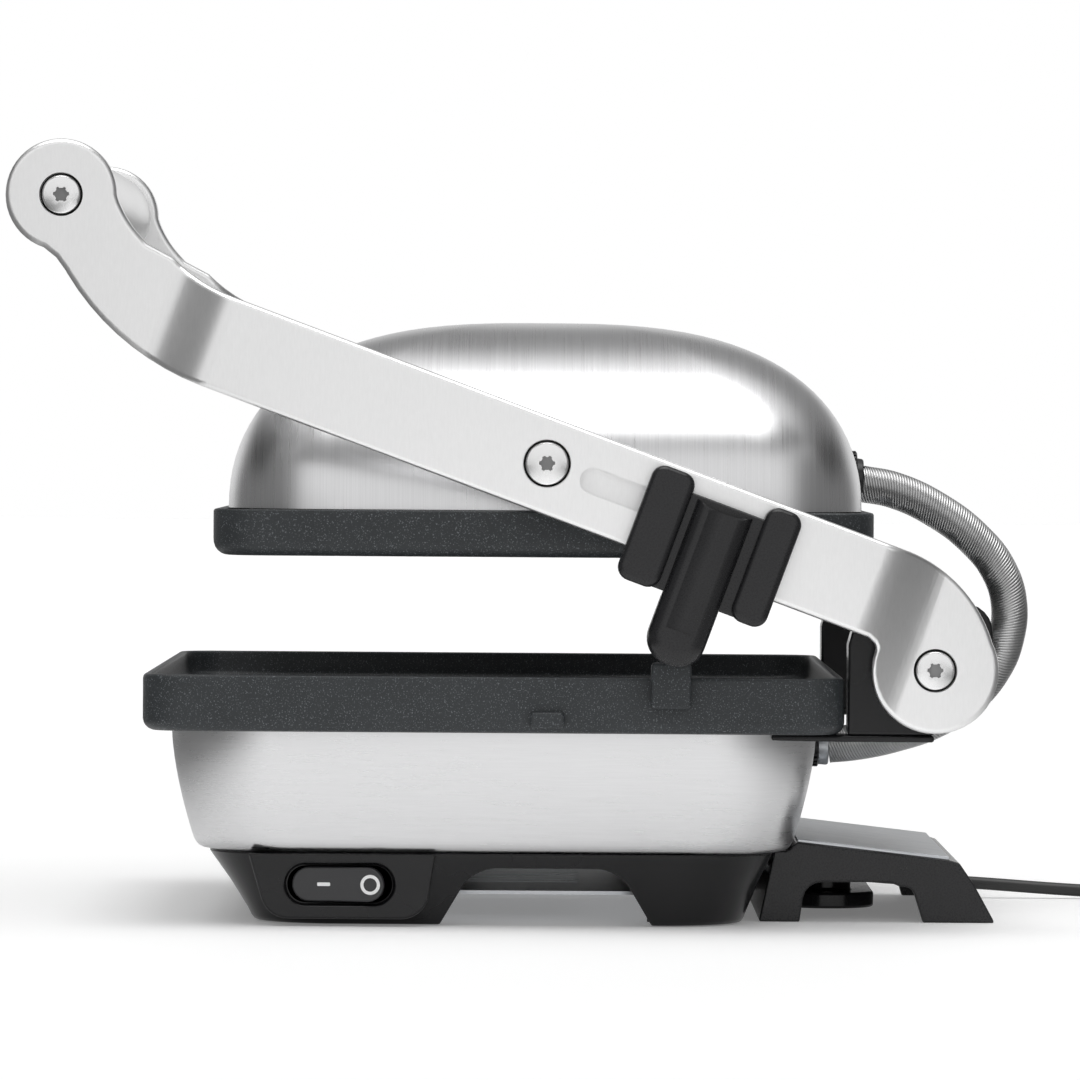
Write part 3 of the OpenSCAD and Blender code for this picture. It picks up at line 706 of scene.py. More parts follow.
panelSet = {"rim": 0.8}
panel = castFrom("switch_panel", "switchPanel")
soften(panel, panelSet["rim"], 4, 35)
finished(panel, "base", "black_gloss", "switch_panel")

# rocker with its two marks, a bar and a ring
rockerSet = {
    "rim": 0.7, "restAngle": -7, "face": 4.4, "rise": 1 / 15.8, "barY": -4.9, "ringY": 11.1,
    "bar": (0.1, 2.2, 0.6), "barCorner": 0.3, "ring": (2.85, 0.55), "ringFlat": 0.22, "stand": 0.06,
}


def makeRocker(look):
    rocker = castFrom("rocker", "rockerKey")
    soften(rocker, look["rim"], 4, 35)
    finished(rocker, "switch_rocker", "rocker_black", "rocker")
    axis = Vector(joints["rocker_tip"]["pos_m"])
    spots = {key: (look["face"] + abs(look[key]) * look["rise"] + look["stand"]) * mm for key in ("barY", "ringY")}
    corner = Vector(look["bar"]) * mm
    bar = boxPiece("markBar", -corner, corner)
    chooseEdges(bar, lambda edge: runsAlong(edge, xAxis))
    bevelChosen(look["barCorner"] * mm, 3)
    deselectAll()
    major, minor = (radius * mm for radius in look["ring"])
    bpy.ops.mesh.primitive_torus_add(major_radius=major, minor_radius=minor, major_segments=48, minor_segments=10)
    ring = named("markRing")
    chooseFaces(ring, lambda face: face.normal.z < -0.75)
    bpy.ops.transform.resize(value=(1, 1, 0.6))
    take(ring)
    ring.rotation_euler = (0, math.pi / 2, 0)
    settle(ring)
    ring.scale = (look["ringFlat"], 1, 1)
    settle(ring)
    for piece, key in ((bar, "barY"), (ring, "ringY")):
        lean = math.atan(look["rise"]) * (-1 if look[key] > 0 else 1)
        piece.rotation_euler = (0, 0, lean)
        piece.location = (spots[key], look[key] * mm, 0)
        settle(piece)
        piece.rotation_euler = (0, 0, math.radians(look["restAngle"]))
        piece.location = axis
        settle(piece)
        smoothOnly(piece)
        finished(piece, "switch_rocker", "rocker_black", look="mark_white")


makeRocker(rockerSet)
print("switch made")


# lower shell and plates

# foot lists (share of the height, extra inset) round the bottom edge
shellSet = {
    "corner": 31, "draw": 8.6, "drawPower": 1.6, "sheet": 1.2,
    "foot": [(0, 4), (0.004, 3), (0.012, 1.9), (0.026, 1.05), (0.05, 0.4), (0.08, 0.08)],
}


def makeLowerShell(look):
    low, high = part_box("lower_housing")
    half = ((high.x - low.x) / 2, (high.y - low.y) / 2)

    def level(share, inset):
        drawIn = (look["draw"] * (1 - share) ** look["drawPower"] + inset) * mm
        return low.z + share * (high.z - low.z), half[0] - drawIn, half[1] - drawIn, plateMid.y

    levels = [level(*step) for step in look["foot"]] + [level(0.12 + 0.08 * i, 0) for i in range(12)]
    shell = ringStack("lowerShell", look["corner"] * mm, levels, 14)
    chooseFaces(shell, lambda face: face.normal.z > 0.95 and face.calc_center_median().z > high.z - 1 * mm)
    bpy.ops.mesh.delete(type="FACE")
    giveWall(shell, look["sheet"])
    smoothOnly(shell, 50)
    finished(shell, "base", "brushed_steel", "lower_housing", look="shell_steel")


makeLowerShell(shellSet)

plateSet = {"pitch": 12, "mouth": 3.4, "foot": 2.4, "depth": 2.2, "footCorner": 1.8, "rim": 0.35}
# the cooking face looks up or down; the profiles list (height, inset) up the outside and back in
lowerSet = {
    "name": "lowerPlate", "node": "lower_plate", "facing": 1, "half": (148, 118.7), "corner": 12,
    "face": 9.8, "grooved": (132, 104),
    "outer": [(0, 3.2), (0.6, 1.9), (1.5, 0.9), (2.6, 0.3), (4, 0), (17.6, 0), (18.5, 0.2),
              (18.95, 0.6), (19.1, 1.1)],
    "inner": [(19.1, 2.1), (18.9, 2.6), (18.2, 3), (15.4, 3.3), (12, 3.8), (10.7, 4.7),
              (10, 5.8), (9.8, 7.2)],
}
upperSet = {
    "name": "upperPlate", "node": "upper_plate", "facing": -1, "half": (140, 112.1), "corner": 14,
    "face": 0, "grooved": (126, 100),
    "outer": [(0, 5), (0.2, 3.7), (0.7, 2.5), (1.6, 1.4), (2.8, 0.6), (4.4, 0.12), (6, 0),
              (14.9, 0), (15.5, 0.2), (15.7, 0.7)],
    "inner": [(15.7, 4), (7, 5)],
}


def grooveCutters(half, y0, y1, surface, depth, look):
    # bars that leave the ribs standing between them, wider at the surface
    count = int(2 * half / look["pitch"])
    first = midX - (count - 1) / 2 * look["pitch"] * mm
    wide = look["mouth"] * mm
    low, high = sorted((surface - depth, surface + depth * 0.01))
    bar = boxPiece("grooveBar", (first - wide, y0, low), (first + wide, y1, high))
    floor = 1 if depth < 0 else -1
    chooseFaces(bar, lambda face: face.normal.z * floor > 0.9)
    narrow = look["foot"] / look["mouth"]
    resize((narrow, 1, 1), (first, (y0 + y1) / 2, 0))
    chooseEdges(bar, lambda edge: abs(edge.verts[0].co.z - edge.verts[1].co.z) > abs(depth) / 2)
    bevelChosen(look["footCorner"] * mm, 4)
    take(bar)
    row = bar.modifiers.new("row", "ARRAY")
    row.count = count
    row.use_relative_offset = False
    row.use_constant_offset = True
    row.constant_offset_displace = (look["pitch"] * mm, 0, 0)
    useModifiers(bar)
    tidyMesh(bar, 0.001)
    return bar


def makePlate(plateLook, look):
    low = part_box(plateLook["node"])[0]
    halfX, halfY = (half * mm for half in plateLook["half"])
    midY = middle("upper_plate").y if plateLook["facing"] < 0 else plateMid.y
    steps = plateLook["outer"] + plateLook["inner"]
    levels = [(low.z + z * mm, halfX - inset * mm, halfY - inset * mm, midY) for z, inset in steps]
    plate = ringStack(plateLook["name"], plateLook["corner"] * mm, levels, 10)
    across, reach = plateLook["grooved"]
    reach *= mm
    surface = low.z + plateLook["face"] * mm
    depth = look["depth"] * plateLook["facing"] * mm
    carve(plate, [grooveCutters(across, midY - reach, midY + reach, surface, depth, look)])
    tidyMesh(plate, 0.004)
    return plate


# the rest for the slider's finger and the boss below it, from the middle of the lower plate
restSet = {
    "plateLug": ((146, 53, 75.5), (154.5, 66.5, 91)), "lockBoss": ((146, 12.3, 68.7), (151, 24, 74.1)),
    "corner": 1.6, "rim": 1.1,
}


def makeRest(name, look):
    low, high = (plateMid + Vector(corner) * mm for corner in look[name])
    return softSlab(name, low, high, look["corner"] * mm, look["rim"] * mm)


lowerPlate = makePlate(lowerSet, plateSet)
lowerPlate = joined("lowerPlate", [lowerPlate, makeRest("plateLug", restSet), makeRest("lockBoss", restSet)])
upperPlate = makePlate(upperSet, plateSet)
for piece, body, node in ((lowerPlate, "base", "lower_plate"), (upperPlate, "lid", "upper_plate")):
    soften(piece, plateSet["rim"], 2, 45)
    finished(piece, body, "coated_plate", node)
print("shell and plates made")


# dome

# half an oval in side view: its two powers, and how near to the top its last ring lies in degrees
domeSet = {"corner": 38, "steps": 26, "widePower": 2.2, "depthPower": 2.8, "crown": 88.4, "sheet": 1.2}


def makeDome(look):
    low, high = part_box("upper_housing")
    halfX, halfY = (high.x - low.x) / 2, (high.y - low.y) / 2
    levels = []
    for i in range(look["steps"] + 1):
        angle = math.radians(look["crown"] * i / look["steps"])
        height = math.sin(angle) ** (2 / look["widePower"])
        drawIn = halfY * (1 - math.cos(angle) ** (2 / look["depthPower"]))
        levels.append((low.z + height * (high.z - low.z), halfX - drawIn, halfY - drawIn, (low.y + high.y) / 2))
    dome = ringStack("upperDome", look["corner"] * mm, levels, 16)
    chooseFaces(dome, lambda face: abs(face.normal.z) > 0.99 and face.calc_center_median().z < low.z + 1 * mm)
    bpy.ops.mesh.delete(type="FACE")
    giveWall(dome, look["sheet"])
    smoothOnly(dome, 50)
    finished(dome, "lid", "brushed_steel", "upper_housing")


makeDome(domeSet)
print("dome made")


# arms, handle and bolts

# places along the arm from the lid's pivot; dent and crook are the outline's corners to clean
armSet = {
    "rim": 1.9, "rimSteps": 5, "rimAngle": 55, "jog": 12, "jogFrom": 116, "jogRun": 24, "jogSteps": 20, "thick": 9,
    "slot": (12, 76), "slotWide": 9, "slotDeep": 8.2, "sinkDeep": 4.6, "endSink": 7.35, "pivotSink": 8.1,
    "dent": (-146.3, 19.3), "crook": (125.5, -18.6), "crookCut": 1.9,
}


def alongArm(piece):
    # turns a piece drawn with Y along the arm and Z up from it into its place on the arm
    piece.rotation_euler = (-armSlope, 0, 0)
    piece.location = (0, pivot.y, pivot.z)
    settle(piece)
    return piece


def acrossArm(piece):
    # the other way round, from its place to the drawing
    piece.location = (0, -pivot.y, -pivot.z)
    settle(piece)
    piece.rotation_euler = (armSlope, 0, 0)
    settle(piece)


def armSpot(point):
    # a point's place along the arm and up from it
    turn = Matrix.Rotation(armSlope, 3, "X") @ Vector((0, point.y - pivot.y, point.z - pivot.z))
    return turn.y, turn.z


def isNear(vert, spot):
    # within a millimetre of a spot on the arm's side
    return math.dist((vert.co.y / mm, vert.co.z / mm), spot) < 1


def armOutline(name, outer, look):
    # the flat outline is cut out of the CAD arm's outer side, and its bores are closed
    arm = castFrom("arm_left", name)
    arm.scale = (-1, 1, 1)
    settle(arm)
    acrossArm(arm)
    tidyMesh(arm, 0.01)
    chooseFaces(arm, lambda face: face.normal.x < 0.3)
    bpy.ops.mesh.delete(type="FACE")
    pickAll()
    resize((0, 1, 1), (outer, 0, 0))
    bpy.ops.mesh.remove_doubles(threshold=0.08 * mm)
    bpy.ops.mesh.fill_holes(sides=80)
    pickAll()
    bpy.ops.mesh.dissolve_limited(angle_limit=math.radians(1))
    bpy.ops.mesh.select_mode(type="VERT")
    pickAll()
    bpy.ops.mesh.remove_doubles(threshold=0.6 * mm)
    choose(arm, "verts", lambda vert: isNear(vert, look["dent"]))
    bpy.ops.mesh.dissolve_verts()
    choose(arm, "verts", lambda vert: isNear(vert, look["crook"]))
    bpy.ops.mesh.bevel(offset=look["crookCut"] * mm, segments=5, affect="VERTICES")
    return arm


def jogAt(along, look):
    share = min(max((abs(along) - look["jogFrom"]) / look["jogRun"], 0), 1)
    return look["jog"] * mm * (1 - math.cos(math.pi * share)) / 2


def setJogs(arm, look):
    # cuts the arm across at even steps, then sets its ends inwards along a soft wave
    step = look["jogRun"] * mm / look["jogSteps"]
    for side in (-1, 1):
        for i in range(look["jogSteps"] + 1):
            place = side * (look["jogFrom"] * mm + i * step)
            edit(arm, "VERT")
            pickAll()
            bpy.ops.mesh.bisect(plane_co=(0, place, 0), plane_no=(0, 1, 0))
    leaveEdit()
    for vert in arm.data.vertices:
        vert.co.x -= jogAt(vert.co.y / mm, look)


def makeArms(look):
    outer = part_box("arm_right")[1].x
    arm = armOutline("rightArm", outer, look)
    pickAll()
    extrude(-look["thick"] * mm, 0, 0)
    turnOutwards()
    setJogs(arm, look)
    roundEdges(arm, look["rim"], look["rimSteps"], look["rimAngle"])
    endFace = outer - look["jog"] * mm
    cutters = []
    for place, face, sink in ((grip, endFace, "endSink"), (hinge, endFace, "endSink"), (pivot, outer, "pivotSink")):
        radius = look[sink] * mm
        profile = [(face - look["sinkDeep"] * mm, radius), (face + 1 * mm, radius)]
        cutters.append(turned("sink", "X", (0, *armSpot(place)), profile, 72))
    carve(arm, cutters)
    left = copyPiece(arm, "leftArm", 0)
    left.scale = (-1, 1, 1)
    left.location = (2 * midX, 0, 0)
    settle(left)
    tidyMesh(left, 0.002)
    half = look["slotWide"] / 2 * mm
    start, end = (place * mm for place in look["slot"])
    floor = outer - look["slotDeep"] * mm
    slot = softSlab("slotCutter", (floor, start, -half), (outer + 2 * mm, end, half), half * 0.98, 0, 12)
    carve(arm, [slot])
    for piece, node in ((arm, "arm_right"), (left, "arm_left")):
        alongArm(piece)
        evenShade(piece, 50)
        finished(piece, "arms", "brushed_aluminium", node)


makeArms(armSet)

# grip bar; a turned seam near each end sets its caps apart
tubeSet = {"seamIn": 9, "seamWide": 1.2, "seamDeep": 0.6, "rim": 0.8}


def makeHandle(look):
    low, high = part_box("handle_tube")
    r = (high.z - low.z) / 2
    deep = look["seamDeep"] * mm
    seam, wide, rim = look["seamIn"] * mm, look["seamWide"] * mm, look["rim"] * mm
    profile = [(low.x, r - rim), (low.x + 0.25 * mm, r - rim * 0.3), (low.x + rim, r)]
    for start in (low.x + seam, high.x - seam - wide):
        profile += [(start, r), (start + 0.2 * mm, r - deep), (start + wide - 0.2 * mm, r - deep), (start + wide, r)]
    profile += [(high.x - rim, r), (high.x - 0.25 * mm, r - rim * 0.3), (high.x, r - rim)]
    tube = turned("handleTube", "X", (0, grip.y, grip.z), profile, 96)
    smoothOnly(tube, 30)
    finished(tube, "arms", "brushed_aluminium", "handle_tube")


makeHandle(tubeSet)

# head radii, the six-lobed socket and the black ring round each head
boltSet = {
    "pivot_bolts": 7.3, "hinge_bolts": 6.6, "handle_bolts": 6.6, "rim": 0.9, "head": 4,
    "shank": 20, "shankRadius": 2.9, "socket": 2.7, "socketDeep": 2.3, "lobe": 0.8, "floorRadius": 3,
    "ringOut": 0.6, "ring": (3.8, 3.1, 2.9),
}


def makeBolt(name, face, radius, at, look):
    # round head with a six-lobed socket; its outer face lies at x = face
    rim, shank, under = look["rim"] * mm, look["shankRadius"] * mm, face - look["head"] * mm
    profile = [(face - look["shank"] * mm, shank), (under, shank), (under, radius), (face - rim, radius)]
    profile += [(face - rim + rim * math.sin(a), radius - rim + rim * math.cos(a)) for a in (0.5, 1.0, 1.57)]
    bolt = turned(name, "X", (0, 0, 0), profile, 48)

    def onFace(item):
        return item.normal.x > 0.99 and item.calc_center_median().x > face - 0.1 * mm

    chooseFaces(bolt, onFace)
    inner = radius - rim - look["socket"] * mm
    bpy.ops.mesh.inset(thickness=inner)

    def inLobe(vert):
        turn = math.degrees(math.atan2(vert.co.z, vert.co.y)) % 60
        near = math.hypot(vert.co.y, vert.co.z) < radius - rim - inner * 0.6
        return near and vert.co.x > face - 0.1 * mm and 15 < turn < 45

    edit(bolt, "VERT")
    choose(bolt, "verts", inLobe)
    resize((1, look["lobe"], look["lobe"]), (face, 0, 0))
    chooseFaces(bolt, lambda item: onFace(item) and len(item.verts) == 48)
    extrude(-look["socketDeep"] * mm, 0, 0)
    leaveEdit()
    bolt.location = (0, at[0], at[1])
    settle(bolt)
    smoothOnly(bolt, 35)
    return bolt


def makeRing(name, face, outer, at, look):
    # black ring in the gap round a bolt head
    back, front, top = (face - depth * mm for depth in look["ring"])
    profile = [(back, outer), (front, outer), (top, outer - 0.15 * mm)]
    ring = turned(name, "X", (0, at[0], at[1]), profile, 64)
    smoothOnly(ring, 40)
    return ring


def makeSocketShadeDisc(name, face, at, look):
    # painted shade: a darker, duller metal disc at the bottom of a bolt's socket
    floor, radius = face - look["socketDeep"] * mm, look["floorRadius"] * mm
    return turned(name, "X", (0, at[0], at[1]), [(floor - 0.4 * mm, radius), (floor + 0.15 * mm, radius)], 32)


def boltPair(node, body, name, at, look):
    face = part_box(node)[1].x
    radius = look[node] * mm
    bolt = makeBolt(name + "Right", face, radius, at, look)
    ring = makeRing(name + "RingRight", face, radius + look["ringOut"] * mm, at, look)
    floor = makeSocketShadeDisc(name + "SocketRight", face, at, look)
    for piece, title, rides, slot, metal in (
            (bolt, "", body, "bolt_steel", "bolt_steel"), (ring, "Ring", "arms", "black_satin", "rubber_black"),
            (floor, "Socket", "arms", "bolt_steel", "socket_steel")):
        left = copyPiece(piece, name + title + "Left", math.pi, (2 * midX, 2 * at[0], 0))
        finished(left, rides, slot, look=metal)
        finished(piece, rides, slot, *((node,) if piece == bolt else ()), look=metal)


boltPair("handle_bolts", "arms", "gripBolt", (grip.y, grip.z), boltSet)
boltPair("pivot_bolts", "arms", "pivotBolt", (pivot.y, pivot.z), boltSet)
boltPair("hinge_bolts", "hinge_shaft", "hingeBolt", (hinge.y, hinge.z), boltSet)
print("arms, handle and bolts made")


# height slider

# in millimetres along the arm, up from it, and out from its face
sliderSet = {
    "start": 34, "low": -27, "high": 13.5, "panelCorner": 4.5, "panelRim": 2.2, "plateCorner": 3.5,
    "left": (0, 15), "between": (0.8, 52.2), "ridge": (17.2, 37), "right": (40.5, 53),
    "ridgeLow": -49, "ridgeHigh": 8, "ridgeRim": 5.2, "tipCorner": 9.2, "backDeep": 6.8, "backRim": 2,
    "plate": 7.4, "panel": 10.2, "ridgeOut": 11.7, "scoopRadius": 15, "scoopDeep": 0.9,
    "archRadius": 29, "archUp": 26,
}


def makeSlider(look):
    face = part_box("arm_right")[1].x + 0.3 * mm
    s0 = look["start"] * mm

    def slab(name, part, low, high, depth, corner, rim):
        start, end = (s0 + place * mm for place in part)
        return softSlab(name, (face, start, low * mm), (face + depth * mm, end, high * mm), corner * mm, rim * mm, 7)

    plate = slab("sliderPlate", look["between"], look["low"] + 0.8, look["ridgeHigh"], look["plate"],
                 look["plateCorner"], 1)
    panel = (look["low"], look["high"], look["panel"], look["panelCorner"], look["panelRim"])
    left = slab("sliderLeft", look["left"], *panel)
    right = slab("sliderRight", look["right"], *panel)
    # the ridge runs on below the arm as the finger, which is deeper there
    top, rear = face + look["ridgeOut"] * mm, face - look["backDeep"] * mm
    side0, side1 = (s0 + place * mm for place in look["ridge"])
    low, high = look["ridgeLow"] * mm, look["ridgeHigh"] * mm
    ridge = boxPiece("sliderRidge", (face, side0, low), (top, side1, high))
    back = boxPiece("fingerBack", (rear, side0, low), (face + 1 * mm, side1, (look["low"] - 1) * mm))
    for piece in (ridge, back):
        chooseEdges(piece, lambda edge: runsAlong(edge, xAxis) and edge.verts[0].co.z < low + 1 * mm)
        bevelChosen(look["tipCorner"] * mm, 10)
    chooseEdges(ridge, lambda edge: all(abs(v.co.x - top) < 0.01 * mm for v in edge.verts))
    bevelChosen(look["ridgeRim"] * mm, 8)
    chooseEdges(back, lambda edge: all(v.co.x < rear + 0.1 * mm for v in edge.verts))
    bevelChosen(look["backRim"] * mm, 4)
    tidyMesh(ridge, 0.02)
    tidyMesh(back, 0.02)
    # a shallow hollow down the ridge for the fingertip, and its arched upper end
    centreS = (side0 + side1) / 2
    radius = look["scoopRadius"] * mm
    hollow = (top + (look["scoopRadius"] - look["scoopDeep"]) * mm, centreS, 0)
    scoop = turned("scoop", "Z", hollow, [(low + 12 * mm, radius), (20 * mm, radius)], 96)
    radius = look["archRadius"] * mm
    hollow = (0, centreS, high + look["archUp"] * mm)
    arch = turned("arch", "X", hollow, [(face + 3.5 * mm, radius), (top + 5 * mm, radius)], 96)
    for cutter in (scoop, arch):
        carve(ridge, [cutter])
        tidyMesh(ridge, 0.02)
    slider = joined("heightSlider", [ridge, back, plate, left, right])
    alongArm(slider)
    soften(slider, 0, 0, 34)
    finished(slider, "slider", "black_satin", "height_slider")


makeSlider(sliderSet)
print("slider made")


# hinge towers, rear deck, spool and glands

# pieces whose CAD shape stays and only gets round edges: node, name, rim, look
softCasts = [
    ("hinge_bracket_right", "rightTower", 0.9, "black_gloss"),
    ("hinge_bracket_left", "leftTower", 0.9, "black_gloss"),
    ("rear_deck", "rearDeck", 0.6, "black_satin"), ("rear_deck_cover", "deckCover", 0.3, "zinc_steel"),
    ("cord_spool", "leadSpool", 0.9, "black_gloss"), ("pivot_brackets", "pivotBracket", 0.5, "zinc_steel"),
]
for node, name, rim, look in softCasts:
    cast = castFrom(node, name)
    soften(cast, rim, 3, 35)
    finished(cast, bodyOf[node], slotOf[node], node, look=look)

# tapered strain relief with grooves between its ribs; radii at its two ends
reliefSet = {"ribs": 5, "start": 4.9, "end": 3.2, "groove": 0.7, "collar": 7}


def makeRelief(look):
    low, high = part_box("strain_relief")
    mid = (low + high) / 2
    collar = look["collar"] * mm
    profile = [(low.y, look["start"] * mm), (low.y + collar, look["start"] * mm)]
    run = high.y - low.y - collar - 1 * mm
    for i in range(look["ribs"]):
        for share, dip in ((0.05, 0), (0.55, 0), (0.62, look["groove"]), (0.93, look["groove"])):
            place = (i + share) / look["ribs"]
            radius = look["start"] + (look["end"] - look["start"]) * place - dip
            profile.append((low.y + collar + 0.5 * mm + run * place, radius * mm))
    profile += [(high.y - 0.5 * mm, 3.1 * mm), (high.y, 2.7 * mm)]
    relief = turned("strainRelief", "Y", (mid.x, 0, mid.z), profile, 40)
    smoothOnly(relief, 38)
    finished(relief, "base", "lead_black", "strain_relief")


makeRelief(reliefSet)

# glands at the conduit's ends; their profiles are steps (along Y from the low or the high end, radius)
glandSet = {
    "teeth": 30, "toothDeep": 0.5, "nutTeeth": 24, "nutToothDeep": 0.4, "nutRadius": 7.8,
    "nut": [(0, 6.4), (5.8, 6.5), (6, 7.4), (6.4, 7.8), (9.2, 7.8), (9.6, 7.3)],
    "collar": [(9.5, 6.6), (9.7, 7)], "collarEnd": [(-1, 7.2), (-0.3, 7), (0, 6.5)],
}


def ribbed(piece, count, sides, deep, centre, radius):
    # draws in every other side face of a piece turned about Y, so that the rim carries ribs
    def inGroove(face):
        out = face.calc_center_median() - centre
        out.y = 0
        side = abs(face.normal.y) < 0.3 and out.length > radius * 0.9
        turn = math.atan2(out.z, out.x) % (2 * math.pi)
        return side and int(turn / (2 * math.pi) * sides) % (sides // count) >= sides // count // 2

    chooseFaces(piece, inGroove)
    bpy.ops.mesh.extrude_faces_move(TRANSFORM_OT_shrink_fatten={"value": -deep})
    leaveEdit()


def makeGlands(look):
    low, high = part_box("conduit_gland_upper")
    mid = (low + high) / 2
    radius = (high.x - low.x) / 2
    disc = turned("upperGland", "Y", (mid.x, 0, mid.z), [
        (low.y, 6.4 * mm), (high.y - 2.9 * mm, 6.6 * mm), (high.y - 2.8 * mm, radius - 0.4 * mm),
        (high.y - 2.4 * mm, radius), (high.y - 0.5 * mm, radius), (high.y, radius - 0.6 * mm),
        (high.y, 7.6 * mm), (high.y + 1.9 * mm, 7.3 * mm), (high.y + 2.3 * mm, 6.9 * mm)], 120)
    ribbed(disc, look["teeth"], 120, look["toothDeep"] * mm, mid, radius)
    smoothOnly(disc, 30)
    finished(disc, "lid", "black_satin", "conduit_gland_upper")
    low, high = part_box("conduit_gland_lower")
    mid = (low + high) / 2
    profile = [(low.y + y * mm, r * mm) for y, r in look["nut"]]
    nut = turned("lowerGlandNut", "Y", (mid.x, 0, mid.z), profile, 96)
    ribbed(nut, look["nutTeeth"], 96, look["nutToothDeep"] * mm, mid, look["nutRadius"] * mm)
    smoothOnly(nut, 30)
    finished(nut, "base", "black_satin")
    profile = [(low.y + y * mm, r * mm) for y, r in look["collar"]]
    profile += [(high.y + y * mm, r * mm) for y, r in look["collarEnd"]]
    collar = turned("lowerGlandCollar", "Y", (mid.x, 0, mid.z), profile, 64)
    smoothOnly(collar, 30)
    finished(collar, "base", "black_satin", "conduit_gland_lower", look="zinc_steel")


makeGlands(glandSet)
print("hinge, deck and glands made")


# ribbed steel conduit, in three stretches; its middle line is in
# millimetres from the middle of the lower plate, as the CAD model draws it
conduitSet = {
    "route": [(129, 150.8), (141, 148.5), (157, 141), (170, 131), (178, 121), (182, 109), (181, 96),
              (177, 86), (168, 75), (156, 67), (142, 62), (128, 59), (118.2, 58)],
    "radius": 6.5, "starts": 12, "wires": 4, "deep": 0.35,
    "stretches": [("conduitA", 5, "arms", "lid"), ("conduitB", 5, "hinge_shaft", "arms"),
                  ("conduitC", 4, "base", "hinge_shaft")],
}


def spotAlong(points, reach):
    for a, b in zip(points, points[1:]):
        if reach <= (b - a).length:
            return a + (b - a).normalized() * reach
        reach -= (b - a).length
    return points[-1]


def windTube(name, start, pitch, turns, look):
    # a straight tube along X whose section turns as it goes, so that its grooves wind round it
    deselectAll()
    sides = look["starts"] * look["wires"]
    bpy.ops.mesh.primitive_circle_add(
        vertices=sides, radius=look["radius"] * mm, rotation=(0, math.pi / 2, 0), location=(start, 0, 0))
    tube = named(name)
    settle(tube)
    edit(tube, "VERT")
    step = 2 * math.pi / sides
    last = look["wires"] - 1
    choose(tube, "verts", lambda v: round(math.atan2(v.co.z, v.co.y) / step) % look["wires"] >= last)
    grow = 1 - look["deep"] / look["radius"]
    resize((1, grow, grow), (0, 0, 0))
    take(tube)
    winding = tube.modifiers.new("winding", "SCREW")
    winding.axis = "X"
    winding.angle = 2 * math.pi
    winding.screw_offset = pitch
    winding.iterations = turns
    winding.steps = winding.render_steps = sides
    useModifiers(tube)
    edit(tube, "VERT")
    bpy.ops.mesh.select_all(action="DESELECT")
    bpy.ops.mesh.select_non_manifold()
    bpy.ops.mesh.fill_holes(sides=0)
    turnOutwards()
    leaveEdit()
    return tube


def makeConduit(look):
    points = [plateMid + Vector((0, y, z)) * mm for y, z in look["route"]]
    path, length = softCurve("conduitPath", points, 24)
    pitch = length / sum(turns for name, turns, lower, upper in look["stretches"])
    start = 0
    for name, turns, lower, upper in look["stretches"]:
        tube = windTube(name, start, pitch, turns, look)
        take(tube)
        bending = tube.modifiers.new("bending", "CURVE")
        bending.object = path
        bending.deform_axis = "POS_X"
        useModifiers(tube)
        smoothOnly(tube, 60)
        tube.data.materials.clear()
        tube.data.materials.append(finishes["steel_braid"])
        end = start + turns * pitch
        spotAlong(points, end)
        spotAlong(points, start)
        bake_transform(tube)
        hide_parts("flex_conduit")
        start = end
    bpy.data.objects.remove(path)


makeConduit(conduitSet)
print("conduit made")

# every CAD node that still shows takes the finish of its slot
for node, piece in frame["nodes"].items():
    for spot in piece.material_slots:
        spot.material = finishes[slotOf[node]]


# floor and light

# the last two entries set where towards the sides, and how strongly, the floor is painted dark in glossy reflections
# (painted dark reflection)
floorSet = {"size": 24, "drop": 0.05, "glow": 0.16, "ends": (0.12, 0.36), "endsShare": 0.88}
# brightness of the studio's front, ceiling, gap above the front, back wall and two sides
studioSet = {
    "front": 0.95, "over": 1.15, "gap": 0.1, "back": 0.28, "sides": 0.22,
    "sun": 1.3, "sunAngle": 50, "sunLean": 12,
}


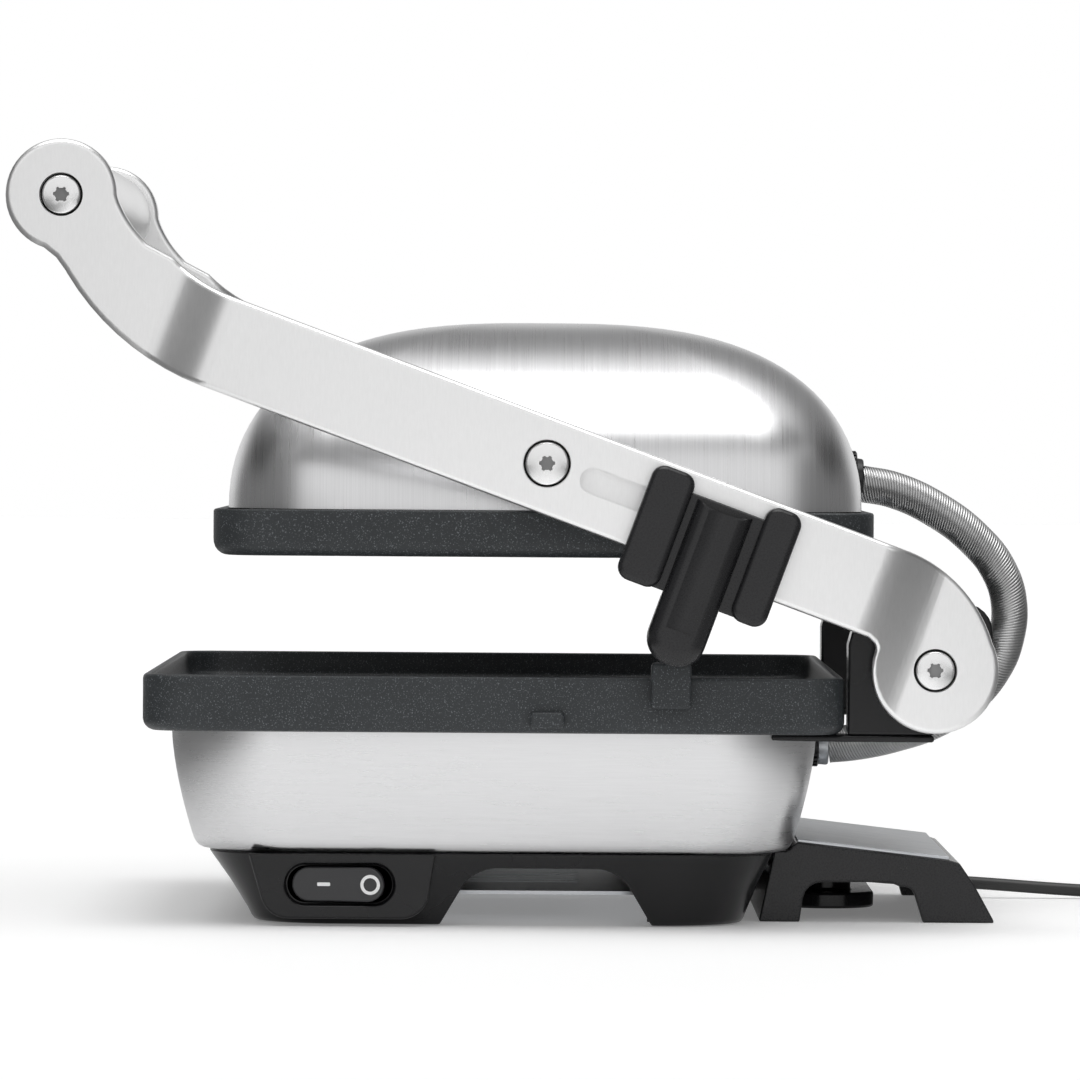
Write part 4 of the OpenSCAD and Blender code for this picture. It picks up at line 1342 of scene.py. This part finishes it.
def makeFloor(look):
    deselectAll()
    bpy.ops.mesh.primitive_plane_add(size=look["size"], location=(0, 0, -look["drop"] * mm))
    floor = named("floor")
    finish = Finish("floorWhite", {"Roughness": 0.6, "Specular IOR Level": 0.2})
    white = finish.mix(finish.noise((3, 3, 3), 2), grey(0.92), grey(0.95))
    # painted dark reflection: to glossy rays from the model the floor is dark and without its glow towards its left
    # and right ends, which paints shade into the shell's corners
    y = finish.add("ShaderNodeSeparateXYZ", None, {"Vector": finish.place()}, 1)
    gloss = finish.add("ShaderNodeLightPath", output="Is Glossy Ray")
    ends = gloss * abs(y).ramp(*look["ends"]) * look["endsShare"]
    finish.drive("Base Color", finish.mix(ends, white, grey(0.05)))
    finish.drive("Emission Color", finish.mix(ends, grey(1), grey(0.0)))
    finish.shader.inputs["Emission Strength"].default_value = look["glow"]
    floor.data.materials.append(finish.material)


def makeStudio(look):
    world = bpy.data.worlds.new("softStudio")
    world.use_nodes = True
    scene.world = world
    sky = Nodes(world.node_tree)
    direction = sky.add("ShaderNodeTexCoord", output="Generated")
    x, y, z = (sky.add("ShaderNodeSeparateXYZ", None, {"Vector": direction}, i) for i in range(3))
    # soft masks over the directions: x towards the front, y to the two sides, z up
    front = x.ramp(-0.1, 0.1)
    gap = z.band(0.66, 0.86, 0.06) * front
    back = z.band(0.28, 0.8, 0.12) * (1 - front)
    sides = abs(y).ramp(0.5, 0.85) * (1 - z.ramp(0.5, 0.75))
    glow = look["front"] + z.ramp(0.85, 0.97) * (look["over"] - look["front"])
    for part, share in ((gap, look["gap"]), (back, look["back"]), (sides, look["sides"])):
        glow = glow * (1 - part * (1 - share))
    background = world.node_tree.nodes["Background"]
    background.inputs["Color"].default_value = grey(1)
    seen = sky.add("ShaderNodeLightPath", output="Is Camera Ray")
    glow = glow * (1 - seen) + seen  # the backdrop itself is plain white
    world.node_tree.links.new(glow.socket, background.inputs["Strength"])
    data = bpy.data.lights.new("overheadSoft", "SUN")
    data.energy = look["sun"]
    data.angle = math.radians(look["sunAngle"])
    sun = bpy.data.objects.new("overheadSoft", data)
    sun.rotation_euler = (0, math.radians(look["sunLean"]), 0)
    scene.collection.objects.link(sun)


makeFloor(floorSet)
makeStudio(studioSet)
scene.view_settings.view_transform = "Standard"
print("floor and light made")
